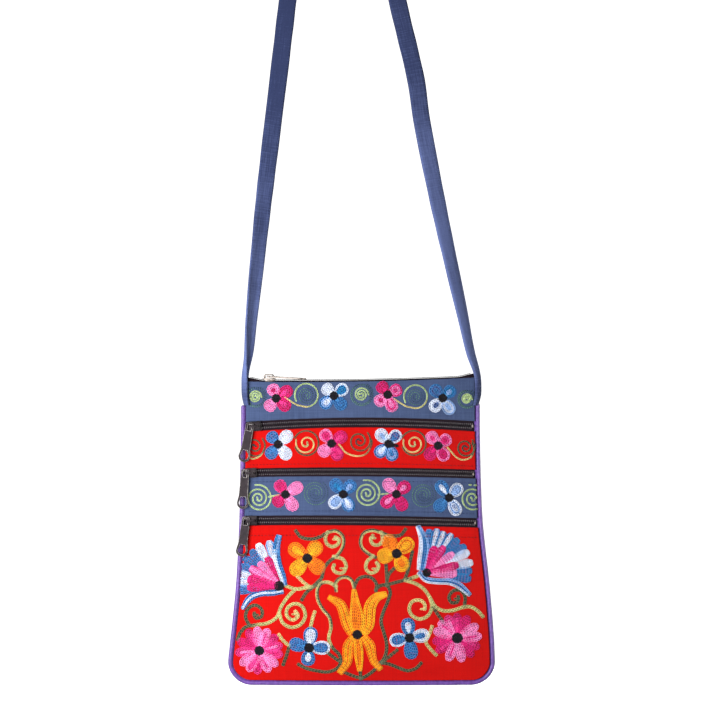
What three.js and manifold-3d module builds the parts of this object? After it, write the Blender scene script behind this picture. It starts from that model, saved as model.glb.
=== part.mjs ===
// An embroidered cloth shoulder bag that hangs by its strap, in millimetres, +Z up.
// The front faces -Y. The origin is the underside of the strap where it hangs over its peg.
import * as THREE from 'three';
import { mergeVertices } from 'three/addons/utils/BufferGeometryUtils.js';
import Module from 'manifold-3d';

const wasm = await Module();
wasm.setup();

// The bag's own frame has its origin on the centre line, at the corners of the mouth.
// These two sizes say how far right of the hang point and how far below it that origin lies.
const BAG_RIGHT_OF_HANG = 24.5;
const STRAP_DROP = 552.9;

const WALL = 1.8;
const TAPE = 1.0;
const TAPE_RECESS = 0.7;
const GAP = 0.3;
const CORNER_RADIUS = 15;
const COLUMNS = 20;
const SLOPE_STEP = 0.004;

// The pouch from mouth to bottom. down: how far below the mouth, half: centre line to side seam,
// seam: half thickness at the seam, belly and back: how far the two walls swell past that,
// arch: how much a level rises from the seams to the middle, tilt: how much it drops to the left,
// shift: how far the cloth hangs to the right.
const POUCH = [
  { down: 0, half: 89.3, seam: 2.3, belly: 3.7, back: 2.8, arch: -1.6, tilt: 3.2, shift: 0 },
  { down: 33, half: 89.3, seam: 2.1, belly: 5.1, back: 4.0, arch: 3.4, tilt: 0.4, shift: 0 },
  { down: 74, half: 90.0, seam: 2.1, belly: 6.4, back: 5.0, arch: 1.6, tilt: -1.0, shift: 0 },
  { down: 112, half: 91.2, seam: 2.1, belly: 7.4, back: 5.6, arch: 1.5, tilt: -1.8, shift: 0.5 },
  { down: 160, half: 95.0, seam: 2.1, belly: 8.0, back: 6.0, arch: 0.8, tilt: 0, shift: 1.8 },
  { down: 200, half: 98.6, seam: 2.1, belly: 7.0, back: 5.4, arch: 0, tilt: 0, shift: 1.5 },
  { down: 222, half: 100.2, seam: 2.1, belly: 4.4, back: 3.6, arch: -0.3, tilt: 0, shift: 0.8 },
  { down: 236, half: 100.2, seam: 2.1, belly: 0.6, back: 0.6, arch: -0.4, tilt: 0, shift: 0.8 },
];
const MOUTH = -1.0;
const BOTTOM = -236;

// The four cloth strips of the front and the three zips between them, by their levels.
const BANDS = [
  { name: 'top_band', top: MOUTH, bottom: -30.5, strips: 3, cloth: 'blue' },
  { name: 'red_band', top: -38.2, bottom: -69.9, strips: 3, cloth: 'red' },
  { name: 'blue_band', top: -76.8, bottom: -107.8, strips: 3, cloth: 'blue' },
];
const MAIN_TOP = -115.2;
// slider: where the slider sits left of the centre line, lean: the pull's lean in degrees.
const ZIPS = [
  { name: 'zip_1', top: -30.5, bottom: -38.2, slider: -82.3, lean: -14.5 },
  { name: 'zip_2', top: -69.9, bottom: -76.8, slider: -85.8, lean: -6 },
  { name: 'zip_3', top: -107.8, bottom: MAIN_TOP, slider: -85.6, lean: -9 },
];
const COIL = { half: 2.3, thick: 0.8, crown: 0.3 };

const TOP_ZIP = {
  reach: 0.985, coilReach: 0.97, below: 0.6, crown: 0.6, endRise: 2.2, riseFrom: 0.84,
  slider: -73.4, droop: 3.0,
};

const PIPING = {
  radius: 1.7, top: -20.8, clear: 0.5, sides: 8, steps: 96, sideSteps: 10, cornerSteps: 8,
};

const SLIDER = {
  length: 10.4, width: 7.4, nose: 4.6, corner: 1.0, plateBottom: 1.6, plateTop: 2.6,
  flangeThick: 0.5, flangeBottom: 0.35, flangeOut: 3.1, flangeLong: 7.1, flangeAhead: 0.8,
  bailLeft: -4.4, bailRight: 4.0, bailTop: 5.9, bailWide: 2.0, shoulder: 1.2, leg: 1.6, bar: 0.9,
};
const PULL = {
  thick: 1.4, aboveLeg: 3.0, topHalf: 3.1, waistHalf: 3.5, waistDown: 17, footHalf: 4.6,
  footDown: 23.4, slotHalf: 1.5, slotTop: 1.6, slotDown: 3.2, windowHalf: 3.1, windowTopHalf: 1.9,
  windowTop: 18.6, windowShoulder: 22.6, windowDown: 26.2, corner: 1.0,
};
const PULL_HEIGHT = 3.9;
const TOP_PULL_PIVOT = -1.2;

const STRAP = {
  width: 14, thick: 2.2, acrossSteps: 6, stationsPerRow: 2, slopeStep: 0.2, flattest: 0.02,
};
const PEG = { radius: 9, level: 545, rightX: -21.6, leftX: -27.3, steps: 5 };
// The strap's two strands from the side seam up. facing: the way its outer face looks, in
// degrees about +Z, curl: how far its section folds round the seam, in degrees.
const RIGHT_STRAND = [
  { z: -21.4, x: 91.2, facing: 0, curl: 165 },
  { z: -10, x: 91.8, facing: 0, curl: 165 },
  { z: 3, x: 91.0, facing: -4, curl: 155 },
  { z: 20, x: 86.6, facing: -26, curl: 110 },
  { z: 45, x: 81.2, facing: -40, curl: 70 },
  { z: 90, x: 70.8, facing: -52, curl: 35 },
  { z: 139, x: 59.9, facing: -64, curl: 12 },
  { z: 200, x: 47.8, facing: -76, curl: 3 },
  { z: 233, x: 43.0, facing: -82, curl: 0 },
  { z: 295, x: 28.5, facing: -88, curl: 0 },
  { z: 420, x: 3.4, facing: -90, curl: 0 },
];
const LEFT_STRAND = [
  { z: -21.4, x: -90.2, facing: 180, curl: 165 },
  { z: -10, x: -90.3, facing: 180, curl: 165 },
  { z: 3, x: -90.2, facing: 176, curl: 155 },
  { z: 20, x: -88.0, facing: 156, curl: 110 },
  { z: 45, x: -85.8, facing: 142, curl: 70 },
  { z: 90, x: -81.0, facing: 128, curl: 35 },
  { z: 139, x: -75.6, facing: 116, curl: 12 },
  { z: 200, x: -68.3, facing: 104, curl: 3 },
  { z: 233, x: -64.3, facing: 98, curl: 0 },
  { z: 295, x: -57.0, facing: 92, curl: 0 },
  { z: 420, x: -42.1, facing: 90, curl: 0 },
];

const MATERIALS = {
  blue: new THREE.MeshStandardMaterial({ color: '#4f5f8c', roughness: 0.9, metalness: 0 }),
  red: new THREE.MeshStandardMaterial({ color: '#e3140a', roughness: 0.88, metalness: 0 }),
  purple: new THREE.MeshStandardMaterial({ color: '#7a4fb0', roughness: 0.6, metalness: 0 }),
  tape: new THREE.MeshStandardMaterial({ color: '#2c2430', roughness: 0.85, metalness: 0 }),
  coil: new THREE.MeshStandardMaterial({ color: '#241f28', roughness: 0.45, metalness: 0 }),
  metal: new THREE.MeshStandardMaterial({ color: '#4a4548', roughness: 0.38, metalness: 0.85 }),
};

// Smooth value of one column of a table, through its rows, at a place along its knot column.
function between(rows, knot, place, column) {
  const last = rows.length - 1;
  let row = 0;
  while (row < last - 1 && place > rows[row + 1][knot]) row += 1;
  const slope = (index) => {
    const before = rows[Math.max(index - 1, 0)];
    const after = rows[Math.min(index + 1, last)];
    return (after[column] - before[column]) / (after[knot] - before[knot]);
  };
  const span = rows[row + 1][knot] - rows[row][knot];
  const share = (place - rows[row][knot]) / span;
  const step = rows[row + 1][column] - rows[row][column];
  const slopeIn = slope(row) * span;
  const slopeOut = slope(row + 1) * span;
  const square = 3 * step - 2 * slopeIn - slopeOut;
  const cubic = slopeIn + slopeOut - 2 * step;
  return rows[row][column] + share * (slopeIn + share * (square + share * cubic));
}

// A column of the pouch table at a level, which is negative below the mouth.
function pouch(level, column) {
  return between(POUCH, 'down', -level, column);
}

// Half width of the cloth at a level, drawn in at the round bottom corners.
function halfWidth(level) {
  const fromCorner = Math.min(Math.max(BOTTOM + CORNER_RADIUS - level, 0), CORNER_RADIUS);
  const drawnIn = CORNER_RADIUS - Math.sqrt(CORNER_RADIUS ** 2 - fromCorner ** 2);
  return pouch(level, 'half') - drawnIn;
}

// Height and place across of a point at u, -1 at the left seam to 1, along a level.
function levelZ(u, level) {
  return level - pouch(level, 'arch') * u * u - (pouch(level, 'tilt') * (1 - u)) / 2;
}

function levelX(u, level) {
  return pouch(level, 'shift') + u * halfWidth(level);
}

// A point of the front (side -1) or back (side 1) cloth.
function clothPoint(side, u, level) {
  const swell = pouch(level, side < 0 ? 'belly' : 'back') * (1 - u * u);
  const y = side * (pouch(level, 'seam') + swell);
  return new THREE.Vector3(levelX(u, level), y, levelZ(u, level));
}

// The outward normal of a surface at (u, v), on the side that the hint vector looks to.
function normalAt(surface, u, v, hint) {
  const step = SLOPE_STEP;
  const along = surface(u + step, v).sub(surface(u - step, v));
  const down = surface(u, v + step).sub(surface(u, v - step));
  const normal = along.cross(down).normalize();
  return normal.dot(hint) < 0 ? normal.negate() : normal;
}

// A closed wall between a surface set back by recess and the same surface set back further.
function wall(surface, us, vs, hint, thickness, recess = 0) {
  const positions = [];
  for (const depth of [recess, recess + thickness]) {
    for (const v of vs) {
      for (const u of us) {
        const point = surface(u, v);
        point.addScaledVector(normalAt(surface, u, v, hint), -depth);
        positions.push(point.x, point.y, point.z);
      }
    }
  }
  const across = us.length;
  const layer = across * vs.length;
  const index = [];
  const quad = (a, b, c, d) => index.push(a, b, c, a, c, d);
  for (let j = 0; j < vs.length - 1; j += 1) {
    for (let i = 0; i < across - 1; i += 1) {
      const a = j * across + i;
      quad(a, a + across, a + across + 1, a + 1);
      quad(layer + a, layer + a + 1, layer + a + across + 1, layer + a + across);
    }
  }
  for (let i = 0; i < across - 1; i += 1) {
    const b = (vs.length - 1) * across + i;
    quad(i, i + 1, layer + i + 1, layer + i);
    quad(b, layer + b, layer + b + 1, b + 1);
  }
  for (let j = 0; j < vs.length - 1; j += 1) {
    const a = j * across;
    const b = a + across - 1;
    quad(a, layer + a, layer + a + across, a + across);
    quad(b, b + across, layer + b + across, layer + b);
  }
  return closedGeometry(positions, index);
}

// A geometry from points and triangles, turned so that its faces point out.
function closedGeometry(positions, index) {
  const corner = (k) => new THREE.Vector3().fromArray(positions, 3 * k);
  let volume = 0;
  for (let k = 0; k < index.length; k += 3) {
    volume += corner(index[k]).dot(corner(index[k + 1]).cross(corner(index[k + 2])));
  }
  const geometry = new THREE.BufferGeometry();
  geometry.setAttribute('position', new THREE.Float32BufferAttribute(positions, 3));
  geometry.setIndex(volume > 0 ? index : index.reverse());
  geometry.computeVertexNormals();
  return geometry;
}

function spread(from, to, steps) {
  return Array.from({ length: steps + 1 }, (_, k) => from + ((to - from) * k) / steps);
}

// Levels from one height to the bottom seam, closer together round the corners.
function levelsToBottom(top, steps, cornerSteps) {
  const straight = spread(top, BOTTOM + CORNER_RADIUS, steps);
  const angles = spread(0, Math.PI / 2, cornerSteps).slice(1);
  return straight.concat(angles.map((angle) => BOTTOM + CORNER_RADIUS * (1 - Math.sin(angle))));
}

function mesh(name, geometry, material) {
  const made = new THREE.Mesh(geometry, MATERIALS[material]);
  made.name = name;
  return made;
}

const FRONT_HINT = new THREE.Vector3(0, -1, 0);
const BACK_HINT = new THREE.Vector3(0, 1, 0);
const UP_HINT = new THREE.Vector3(0, 0, 1);
const frontCloth = (u, level) => clothPoint(-1, u, level);
const backCloth = (u, level) => clothPoint(1, u, level);
const acrossBag = spread(-1, 1, COLUMNS);

const bag = new THREE.Group();
bag.position.set(BAG_RIGHT_OF_HANG, 0, -STRAP_DROP);

// Cloth walls of the pouch: three bands and the main panel in front, one panel behind.
for (const band of BANDS) {
  const levels = spread(band.top - GAP / 2, band.bottom + GAP / 2, band.strips);
  bag.add(mesh(band.name, wall(frontCloth, acrossBag, levels, FRONT_HINT, WALL), band.cloth));
}
const mainLevels = levelsToBottom(MAIN_TOP - GAP / 2, 6, 5);
bag.add(mesh('main_panel', wall(frontCloth, acrossBag, mainLevels, FRONT_HINT, WALL), 'red'));
const backLevels = levelsToBottom(MOUTH, 11, 5);
bag.add(mesh('back_panel', wall(backCloth, acrossBag, backLevels, BACK_HINT, WALL), 'blue'));

// A coil is a low ridge over the middle of its tape: v runs across it from -1 to 1.
function coilOver(tapeSurface, lift, hint) {
  const ridge = (u, v) => {
    const point = tapeSurface(u, v);
    const rise = lift + COIL.thick + COIL.crown * (1 - v * v);
    return point.addScaledVector(normalAt(tapeSurface, u, v, hint), rise);
  };
  return wall(ridge, acrossBag, [-1, 0, 1], hint, COIL.thick);
}

function sliderSolid() {
  const s = SLIDER;
  const outline = new THREE.Shape();
  outline.moveTo(-s.length / 2, -s.nose / 2);
  outline.lineTo(-s.length / 4, -s.width / 2);
  outline.lineTo(s.length / 2 - s.corner, -s.width / 2);
  outline.absarc(s.length / 2 - s.corner, s.corner - s.width / 2, s.corner, -Math.PI / 2, 0, false);
  outline.absarc(s.length / 2 - s.corner, s.width / 2 - s.corner, s.corner, 0, Math.PI / 2, false);
  outline.lineTo(-s.length / 4, s.width / 2);
  outline.lineTo(-s.length / 2, s.nose / 2);
  outline.closePath();
  const plate = extruded(outline, s.plateTop - s.plateBottom).translate(0, 0, s.plateBottom);
  const arch = new THREE.Shape();
  arch.moveTo(s.bailLeft, s.plateTop - GAP);
  arch.lineTo(s.bailRight, s.plateTop - GAP);
  arch.lineTo(s.bailRight, s.bailTop - s.shoulder);
  arch.lineTo(s.bailRight - s.shoulder, s.bailTop);
  arch.lineTo(s.bailLeft + s.shoulder, s.bailTop);
  arch.lineTo(s.bailLeft, s.bailTop - s.shoulder);
  arch.closePath();
  const gap = new THREE.Path();
  gap.moveTo(s.bailLeft + s.leg, s.plateTop);
  gap.lineTo(s.bailLeft + s.leg, s.bailTop - s.bar);
  gap.lineTo(s.bailRight - s.leg, s.bailTop - s.bar);
  gap.lineTo(s.bailRight - s.leg, s.plateTop);
  gap.closePath();
  arch.holes.push(gap);
  const bail = extruded(arch, s.bailWide).rotateX(Math.PI / 2).translate(0, s.bailWide / 2, 0);
  let solid = toSolid(plate).add(toSolid(bail));
  for (const side of [-1, 1]) {
    const deep = s.plateBottom + GAP - s.flangeBottom;
    const flange = new THREE.BoxGeometry(s.flangeLong, s.flangeThick, deep);
    const sideways = side * (s.flangeOut - s.flangeThick / 2);
    flange.translate(s.flangeAhead, sideways, s.flangeBottom + deep / 2);
    solid = solid.add(toSolid(flange));
  }
  return toGeometry(solid);
}

// The pull tab hangs down from the bail's leg at its own origin, flat in x and y.
function pullGeometry() {
  const p = PULL;
  const outline = new THREE.Shape();
  outline.moveTo(-p.topHalf, p.aboveLeg - p.corner);
  outline.lineTo(-p.waistHalf, -p.waistDown);
  outline.lineTo(-p.footHalf, -p.footDown);
  outline.absarc(0, -p.footDown, p.footHalf, Math.PI, 2 * Math.PI, false);
  outline.lineTo(p.waistHalf, -p.waistDown);
  outline.lineTo(p.topHalf, p.aboveLeg - p.corner);
  outline.absarc(p.topHalf - p.corner, p.aboveLeg - p.corner, p.corner, 0, Math.PI / 2, false);
  outline.absarc(p.corner - p.topHalf, p.aboveLeg - p.corner, p.corner, Math.PI / 2, Math.PI, false);
  const slot = new THREE.Path();
  slot.moveTo(-p.slotHalf, p.slotTop);
  slot.lineTo(p.slotHalf, p.slotTop);
  slot.lineTo(p.slotHalf, -p.slotDown);
  slot.lineTo(-p.slotHalf, -p.slotDown);
  slot.closePath();
  const window = new THREE.Path();
  window.moveTo(-p.windowTopHalf, -p.windowTop);
  window.lineTo(p.windowTopHalf, -p.windowTop);
  window.lineTo(p.windowHalf, -p.windowShoulder);
  window.absarc(0, -p.windowDown + p.windowHalf, p.windowHalf, 0, -Math.PI, true);
  window.closePath();
  outline.holes.push(slot, window);
  return extruded(outline, p.thick).translate(0, 0, -p.thick / 2);
}

function extruded(shape, depth) {
  return new THREE.ExtrudeGeometry(shape, { depth, bevelEnabled: false, curveSegments: 6 });
}

function toSolid(geometry) {
  const bare = geometry.clone();
  bare.deleteAttribute('normal');
  bare.deleteAttribute('uv');
  const merged = mergeVertices(bare, 1e-4);
  const vertProperties = new Float32Array(merged.attributes.position.array);
  const triVerts = new Uint32Array(merged.index.array);
  return new wasm.Manifold(new wasm.Mesh({ numProp: 3, vertProperties, triVerts }));
}

function toGeometry(solid) {
  const made = solid.getMesh();
  return closedGeometry(Array.from(made.vertProperties), Array.from(made.triVerts));
}

// A slider's own frame: x along the zip, z straight out of the tape.
function sliderGroup(name, tapeSurface, u, hint) {
  const along = tapeSurface(u + SLOPE_STEP, 0).sub(tapeSurface(u - SLOPE_STEP, 0)).normalize();
  const out = normalAt(tapeSurface, u, 0, hint);
  const over = out.clone().cross(along).normalize();
  const group = new THREE.Group();
  group.applyMatrix4(new THREE.Matrix4().makeBasis(along, over, out));
  group.position.copy(tapeSurface(u, 0));
  group.add(mesh(`${name}_slider`, sliderSolid(), 'metal'));
  return group;
}

// Pocket zips: tape and coil across the front, the pull hung on the left leg of the bail.
for (const zip of ZIPS) {
  const middle = (zip.top + zip.bottom) / 2;
  const levels = [zip.top - GAP / 2, zip.bottom + GAP / 2];
  const tape = wall(frontCloth, acrossBag, levels, FRONT_HINT, TAPE, TAPE_RECESS);
  bag.add(mesh(`${zip.name}_tape`, tape, 'tape'));
  const tapeFace = (u, v) => {
    const level = middle - v * COIL.half;
    const out = normalAt(frontCloth, u, level, FRONT_HINT);
    return frontCloth(u, level).addScaledVector(out, -TAPE_RECESS);
  };
  bag.add(mesh(`${zip.name}_coil`, coilOver(tapeFace, GAP, FRONT_HINT), 'coil'));
  const slider = sliderGroup(zip.name, tapeFace, zip.slider / halfWidth(middle), FRONT_HINT);
  const pull = mesh(`${zip.name}_pull`, pullGeometry(), 'metal');
  pull.position.set(SLIDER.bailLeft + SLIDER.leg / 2, 0, PULL_HEIGHT);
  pull.rotation.z = THREE.MathUtils.degToRad(zip.lean);
  slider.add(pull);
  bag.add(slider);
}

// The zip of the mouth lies flat between the two walls, with its ends drawn up at the seams.
function mouthTape(u, v) {
  const seam = pouch(MOUTH, 'seam') - WALL - GAP;
  const front = seam + pouch(MOUTH, 'belly') * (1 - u * u);
  const back = seam + pouch(MOUTH, 'back') * (1 - u * u);
  const y = v < 0 ? v * front : v * back;
  const rise = TOP_ZIP.endRise * THREE.MathUtils.smoothstep(Math.abs(u), TOP_ZIP.riseFrom, 1);
  const z = levelZ(u, MOUTH) - TOP_ZIP.below + TOP_ZIP.crown * (1 - v * v) + rise;
  return new THREE.Vector3(levelX(u, MOUTH), y, z);
}
const alongMouth = spread(-TOP_ZIP.reach, TOP_ZIP.reach, COLUMNS);
bag.add(mesh('top_zip_tape', wall(mouthTape, alongMouth, [-1, 0, 1], UP_HINT, TAPE), 'tape'));
const mouthCoil = (u, v) => {
  const room = (pouch(MOUTH, 'seam') + pouch(MOUTH, 'back') * (1 - u * u)) / 2;
  return mouthTape(u * TOP_ZIP.coilReach, 0).setY(v * Math.min(COIL.half, room));
};
bag.add(mesh('top_zip_coil', coilOver(mouthCoil, GAP, UP_HINT), 'coil'));
const topSlider = sliderGroup('top_zip', mouthCoil, TOP_ZIP.slider / halfWidth(MOUTH), UP_HINT);
const topPull = mesh('top_zip_pull', pullGeometry(), 'metal');
const crossbar = (PULL.aboveLeg + PULL.slotTop) / 2;
topPull.geometry.translate(0, -crossbar, 0).rotateZ(Math.PI / 2);
topPull.rotation.y = THREE.MathUtils.degToRad(TOP_ZIP.droop);
topPull.position.set(TOP_PULL_PIVOT, 0, PULL_HEIGHT);
topSlider.add(topPull);
bag.add(topSlider);

// Piping: a round cord just outside the seam, down one side, along the bottom and up the other.
function pipingPath() {
  const side = levelsToBottom(PIPING.top, PIPING.sideSteps, PIPING.cornerSteps);
  const bottom = spread(-1, 1, PIPING.sideSteps).slice(1, -1);
  const seam = [];
  for (const level of side) seam.push(new THREE.Vector2(levelX(-1, level), levelZ(-1, level)));
  for (const u of bottom) seam.push(new THREE.Vector2(levelX(u, BOTTOM), levelZ(u, BOTTOM)));
  for (const level of side.reverse()) seam.push(new THREE.Vector2(levelX(1, level), levelZ(1, level)));
  const off = PIPING.radius + PIPING.clear;
  const points = seam.map((point, k) => {
    const before = seam[Math.max(k - 1, 0)];
    const after = seam[Math.min(k + 1, seam.length - 1)];
    const out = new THREE.Vector2(after.y - before.y, before.x - after.x).normalize();
    return new THREE.Vector3(point.x + off * out.x, 0, point.y + off * out.y);
  });
  return new THREE.CatmullRomCurve3(points);
}
const cord = new THREE.Shape();
for (let k = 0; k < PIPING.sides; k += 1) {
  const angle = (2 * Math.PI * (k + 0.5)) / PIPING.sides;
  const place = [PIPING.radius * Math.cos(angle), PIPING.radius * Math.sin(angle)];
  if (k === 0) cord.moveTo(...place);
  else cord.lineTo(...place);
}
cord.closePath();
const pipingGeometry = new THREE.ExtrudeGeometry(cord, { steps: PIPING.steps, extrudePath: pipingPath() });
bag.add(mesh('piping', pipingGeometry, 'purple'));

// The strap: up the right strand, over the peg, down the left strand behind it.
function strapRows() {
  const lean = (strand, side) => strand.map((row) => {
    const y = (side * PEG.radius * row.z) / PEG.level;
    return { ...row, y, tip: 0 };
  });
  const over = [];
  for (let k = 0; k <= PEG.steps; k += 1) {
    const turn = (Math.PI * k) / PEG.steps;
    const share = k / PEG.steps;
    over.push({
      x: PEG.rightX + (PEG.leftX - PEG.rightX) * share,
      y: -PEG.radius * Math.cos(turn),
      z: PEG.level + PEG.radius * Math.sin(turn),
      facing: share < 0.5 ? -90 : 90,
      tip: share < 0.5 ? 180 * share : 180 - 180 * share,
      curl: 0,
    });
  }
  return [...lean(RIGHT_STRAND, -1), ...over, ...lean(LEFT_STRAND, 1).reverse()];
}

function strapGeometry() {
  const rows = strapRows().map((row) => {
    const facing = THREE.MathUtils.degToRad(row.facing);
    const tip = THREE.MathUtils.degToRad(row.tip);
    const faceX = Math.cos(tip) * Math.cos(facing);
    const faceY = Math.cos(tip) * Math.sin(facing);
    return { ...row, run: 0, faceX, faceY, faceZ: Math.sin(tip) };
  });
  for (let k = 1; k < rows.length; k += 1) {
    const before = rows[k - 1];
    const step = [rows[k].x - before.x, rows[k].y - before.y, rows[k].z - before.z];
    rows[k].run = before.run + Math.hypot(...step);
  }
  const length = rows[rows.length - 1].run;
  const at = (run, columns) => {
    const values = columns.map((column) => between(rows, 'run', run, column));
    return new THREE.Vector3(...values);
  };
  const stations = [0];
  for (let k = 1; k < rows.length; k += 1) {
    stations.push(...spread(rows[k - 1].run, rows[k].run, STRAP.stationsPerRow).slice(1));
  }
  const positions = [];
  const index = [];
  const ring = 2 * (STRAP.acrossSteps + 1);
  const shares = spread(-0.5, 0.5, STRAP.acrossSteps);
  for (const run of stations) {
    const centre = at(run, ['x', 'y', 'z']);
    const ahead = at(Math.min(run + STRAP.slopeStep, length), ['x', 'y', 'z']);
    const behind = at(Math.max(run - STRAP.slopeStep, 0), ['x', 'y', 'z']);
    const along = ahead.sub(behind).normalize();
    const face = at(run, ['faceX', 'faceY', 'faceZ']);
    face.addScaledVector(along, -face.dot(along)).normalize();
    const width = along.clone().cross(face);
    const curl = Math.max(THREE.MathUtils.degToRad(between(rows, 'run', run, 'curl')), STRAP.flattest);
    const radius = STRAP.width / curl;
    const middle = (radius * Math.sin(curl / 2)) / (curl / 2);
    const put = (share, lift) => {
      const angle = share * curl;
      const point = centre.clone();
      point.addScaledVector(width, (radius + lift) * Math.sin(angle));
      point.addScaledVector(face, (radius + lift) * Math.cos(angle) - middle);
      positions.push(point.x, point.y, point.z);
    };
    for (const share of shares) put(share, STRAP.thick / 2);
    for (const share of [...shares].reverse()) put(share, -STRAP.thick / 2);
  }
  for (let k = 0; k < stations.length - 1; k += 1) {
    for (let i = 0; i < ring; i += 1) {
      const a = k * ring + i;
      const b = k * ring + ((i + 1) % ring);
      index.push(a, b, b + ring, a, b + ring, a + ring);
    }
  }
  const lastRing = (stations.length - 1) * ring;
  for (let i = 0; i < STRAP.acrossSteps; i += 1) {
    const j = ring - 1 - i;
    index.push(i, j, j - 1, i, j - 1, i + 1);
    const [a, b, c, d] = [lastRing + i, lastRing + i + 1, lastRing + j - 1, lastRing + j];
    index.push(a, b, c, a, c, d);
  }
  return closedGeometry(positions, index);
}
bag.add(mesh('strap', strapGeometry(), 'blue'));

const part = new THREE.Group();
part.add(bag);

export default part;
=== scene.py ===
# %% [markdown]
# # An embroidered shoulder bag
# A flat cotton pouch hangs by a long strap. Its front is four strips of cloth with a zip between
# each two, and every strip is worked with flowers in chain stitch. The solids of the bag are loaded
# first. They give each piece its place and size, and the pieces made here stand in for them.

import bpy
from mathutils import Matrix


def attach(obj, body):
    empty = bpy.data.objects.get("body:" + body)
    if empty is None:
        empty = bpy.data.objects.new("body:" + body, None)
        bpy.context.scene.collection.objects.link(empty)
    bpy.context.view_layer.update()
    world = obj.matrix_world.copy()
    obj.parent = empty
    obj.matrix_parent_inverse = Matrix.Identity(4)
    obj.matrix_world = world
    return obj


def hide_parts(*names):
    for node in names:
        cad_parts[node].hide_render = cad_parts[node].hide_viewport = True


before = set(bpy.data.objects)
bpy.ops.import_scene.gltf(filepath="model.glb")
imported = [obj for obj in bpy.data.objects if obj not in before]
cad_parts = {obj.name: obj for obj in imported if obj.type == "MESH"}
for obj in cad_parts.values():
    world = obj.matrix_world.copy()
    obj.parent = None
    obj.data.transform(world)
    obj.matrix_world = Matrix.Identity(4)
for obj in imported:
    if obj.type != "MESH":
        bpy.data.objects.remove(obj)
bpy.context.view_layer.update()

# %% [markdown]
# The bag is drawn in millimetres from the middle of its mouth, as a pattern cutter would do.
# A piece is a list of points and faces; this step puts it in its place below the hang point.

# %% Points become a piece
import math

import bmesh
import bpy
import numpy as np

MOUTH_PLACE = np.array([24.5, 0.0, -552.9])
MM = 0.001


def place(points):
    return (np.asarray(points, float) + MOUTH_PLACE) * MM


def show(name, data):
    made = bpy.data.objects.new(name, data)
    bpy.context.scene.collection.objects.link(made)
    return made


def add_piece(name, mesh, material, body="bag", replaces=()):
    mesh.name = name
    mesh.shade_smooth()
    if not mesh.materials:
        mesh.materials.append(material)
    made = show(name, mesh)
    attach(made, body)
    if replaces:
        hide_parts(*replaces)
    mesh.calc_loop_triangles()
    print(f"{name}: {len(mesh.loop_triangles)} triangles")
    return made


# %% [markdown]
# Most pieces are grids of points. A sheet is two grids joined round their rim, and a tube is a row
# of rings with a cap at each end. The flat pattern of the cloth is kept with it as a UV map.

# %% Grids become closed meshes
def closed_mesh(points, faces, uv):
    mesh = bpy.data.meshes.new("piece")
    mesh.from_pydata(place(points).tolist(), [], faces)
    shell = bmesh.new()
    shell.from_mesh(mesh)
    bmesh.ops.recalc_face_normals(shell, faces=shell.faces)
    shell.to_mesh(mesh)
    shell.free()
    corners = np.zeros(len(mesh.loops), int)
    mesh.loops.foreach_get("vertex_index", corners)
    mesh.uv_layers.new(name="cloth").data.foreach_set("uv", uv[corners].ravel() * MM)
    return mesh


def grid_faces(rows, columns, first=0, ring=False):
    wide = columns if ring else columns - 1
    j, i = np.meshgrid(np.arange(rows - 1), np.arange(wide), indexing="ij")
    a = first + j * columns + i
    b = first + j * columns + (i + 1) % columns
    return np.stack([a, b, b + columns, a + columns], -1).reshape(-1, 4).tolist()


def sheet_mesh(outer, inner, uv):
    rows, columns = outer.shape[:2]
    layer = rows * columns
    number = np.arange(layer).reshape(rows, columns)
    rim = np.concatenate([number[0], number[1:, -1], number[-1, -2::-1], number[-2:0:-1, 0]])
    turn = np.roll(rim, -1)
    faces = grid_faces(rows, columns) + grid_faces(rows, columns, layer)
    faces += np.stack([rim, turn, turn + layer, rim + layer], -1).tolist()
    points = np.concatenate([outer.reshape(-1, 3), inner.reshape(-1, 3)])
    flat = uv.reshape(-1, 2)
    return closed_mesh(points, faces, np.concatenate([flat, flat]))


def tube_mesh(rings, around, run):
    count, sides = rings.shape[:2]
    last = (count - 1) * sides
    faces = grid_faces(count, sides, ring=True)
    faces += [list(range(sides)), list(range(last, last + sides))]
    uv = np.stack(np.broadcast_arrays(around, run[:, None]), -1)
    return closed_mesh(rings.reshape(-1, 3), faces, uv.reshape(-1, 2))


# %% [markdown]
# Every finish is a node tree. Writing the trees out socket by socket is long, so one small class
# holds the output of a node and turns ordinary arithmetic into maths nodes.

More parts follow.
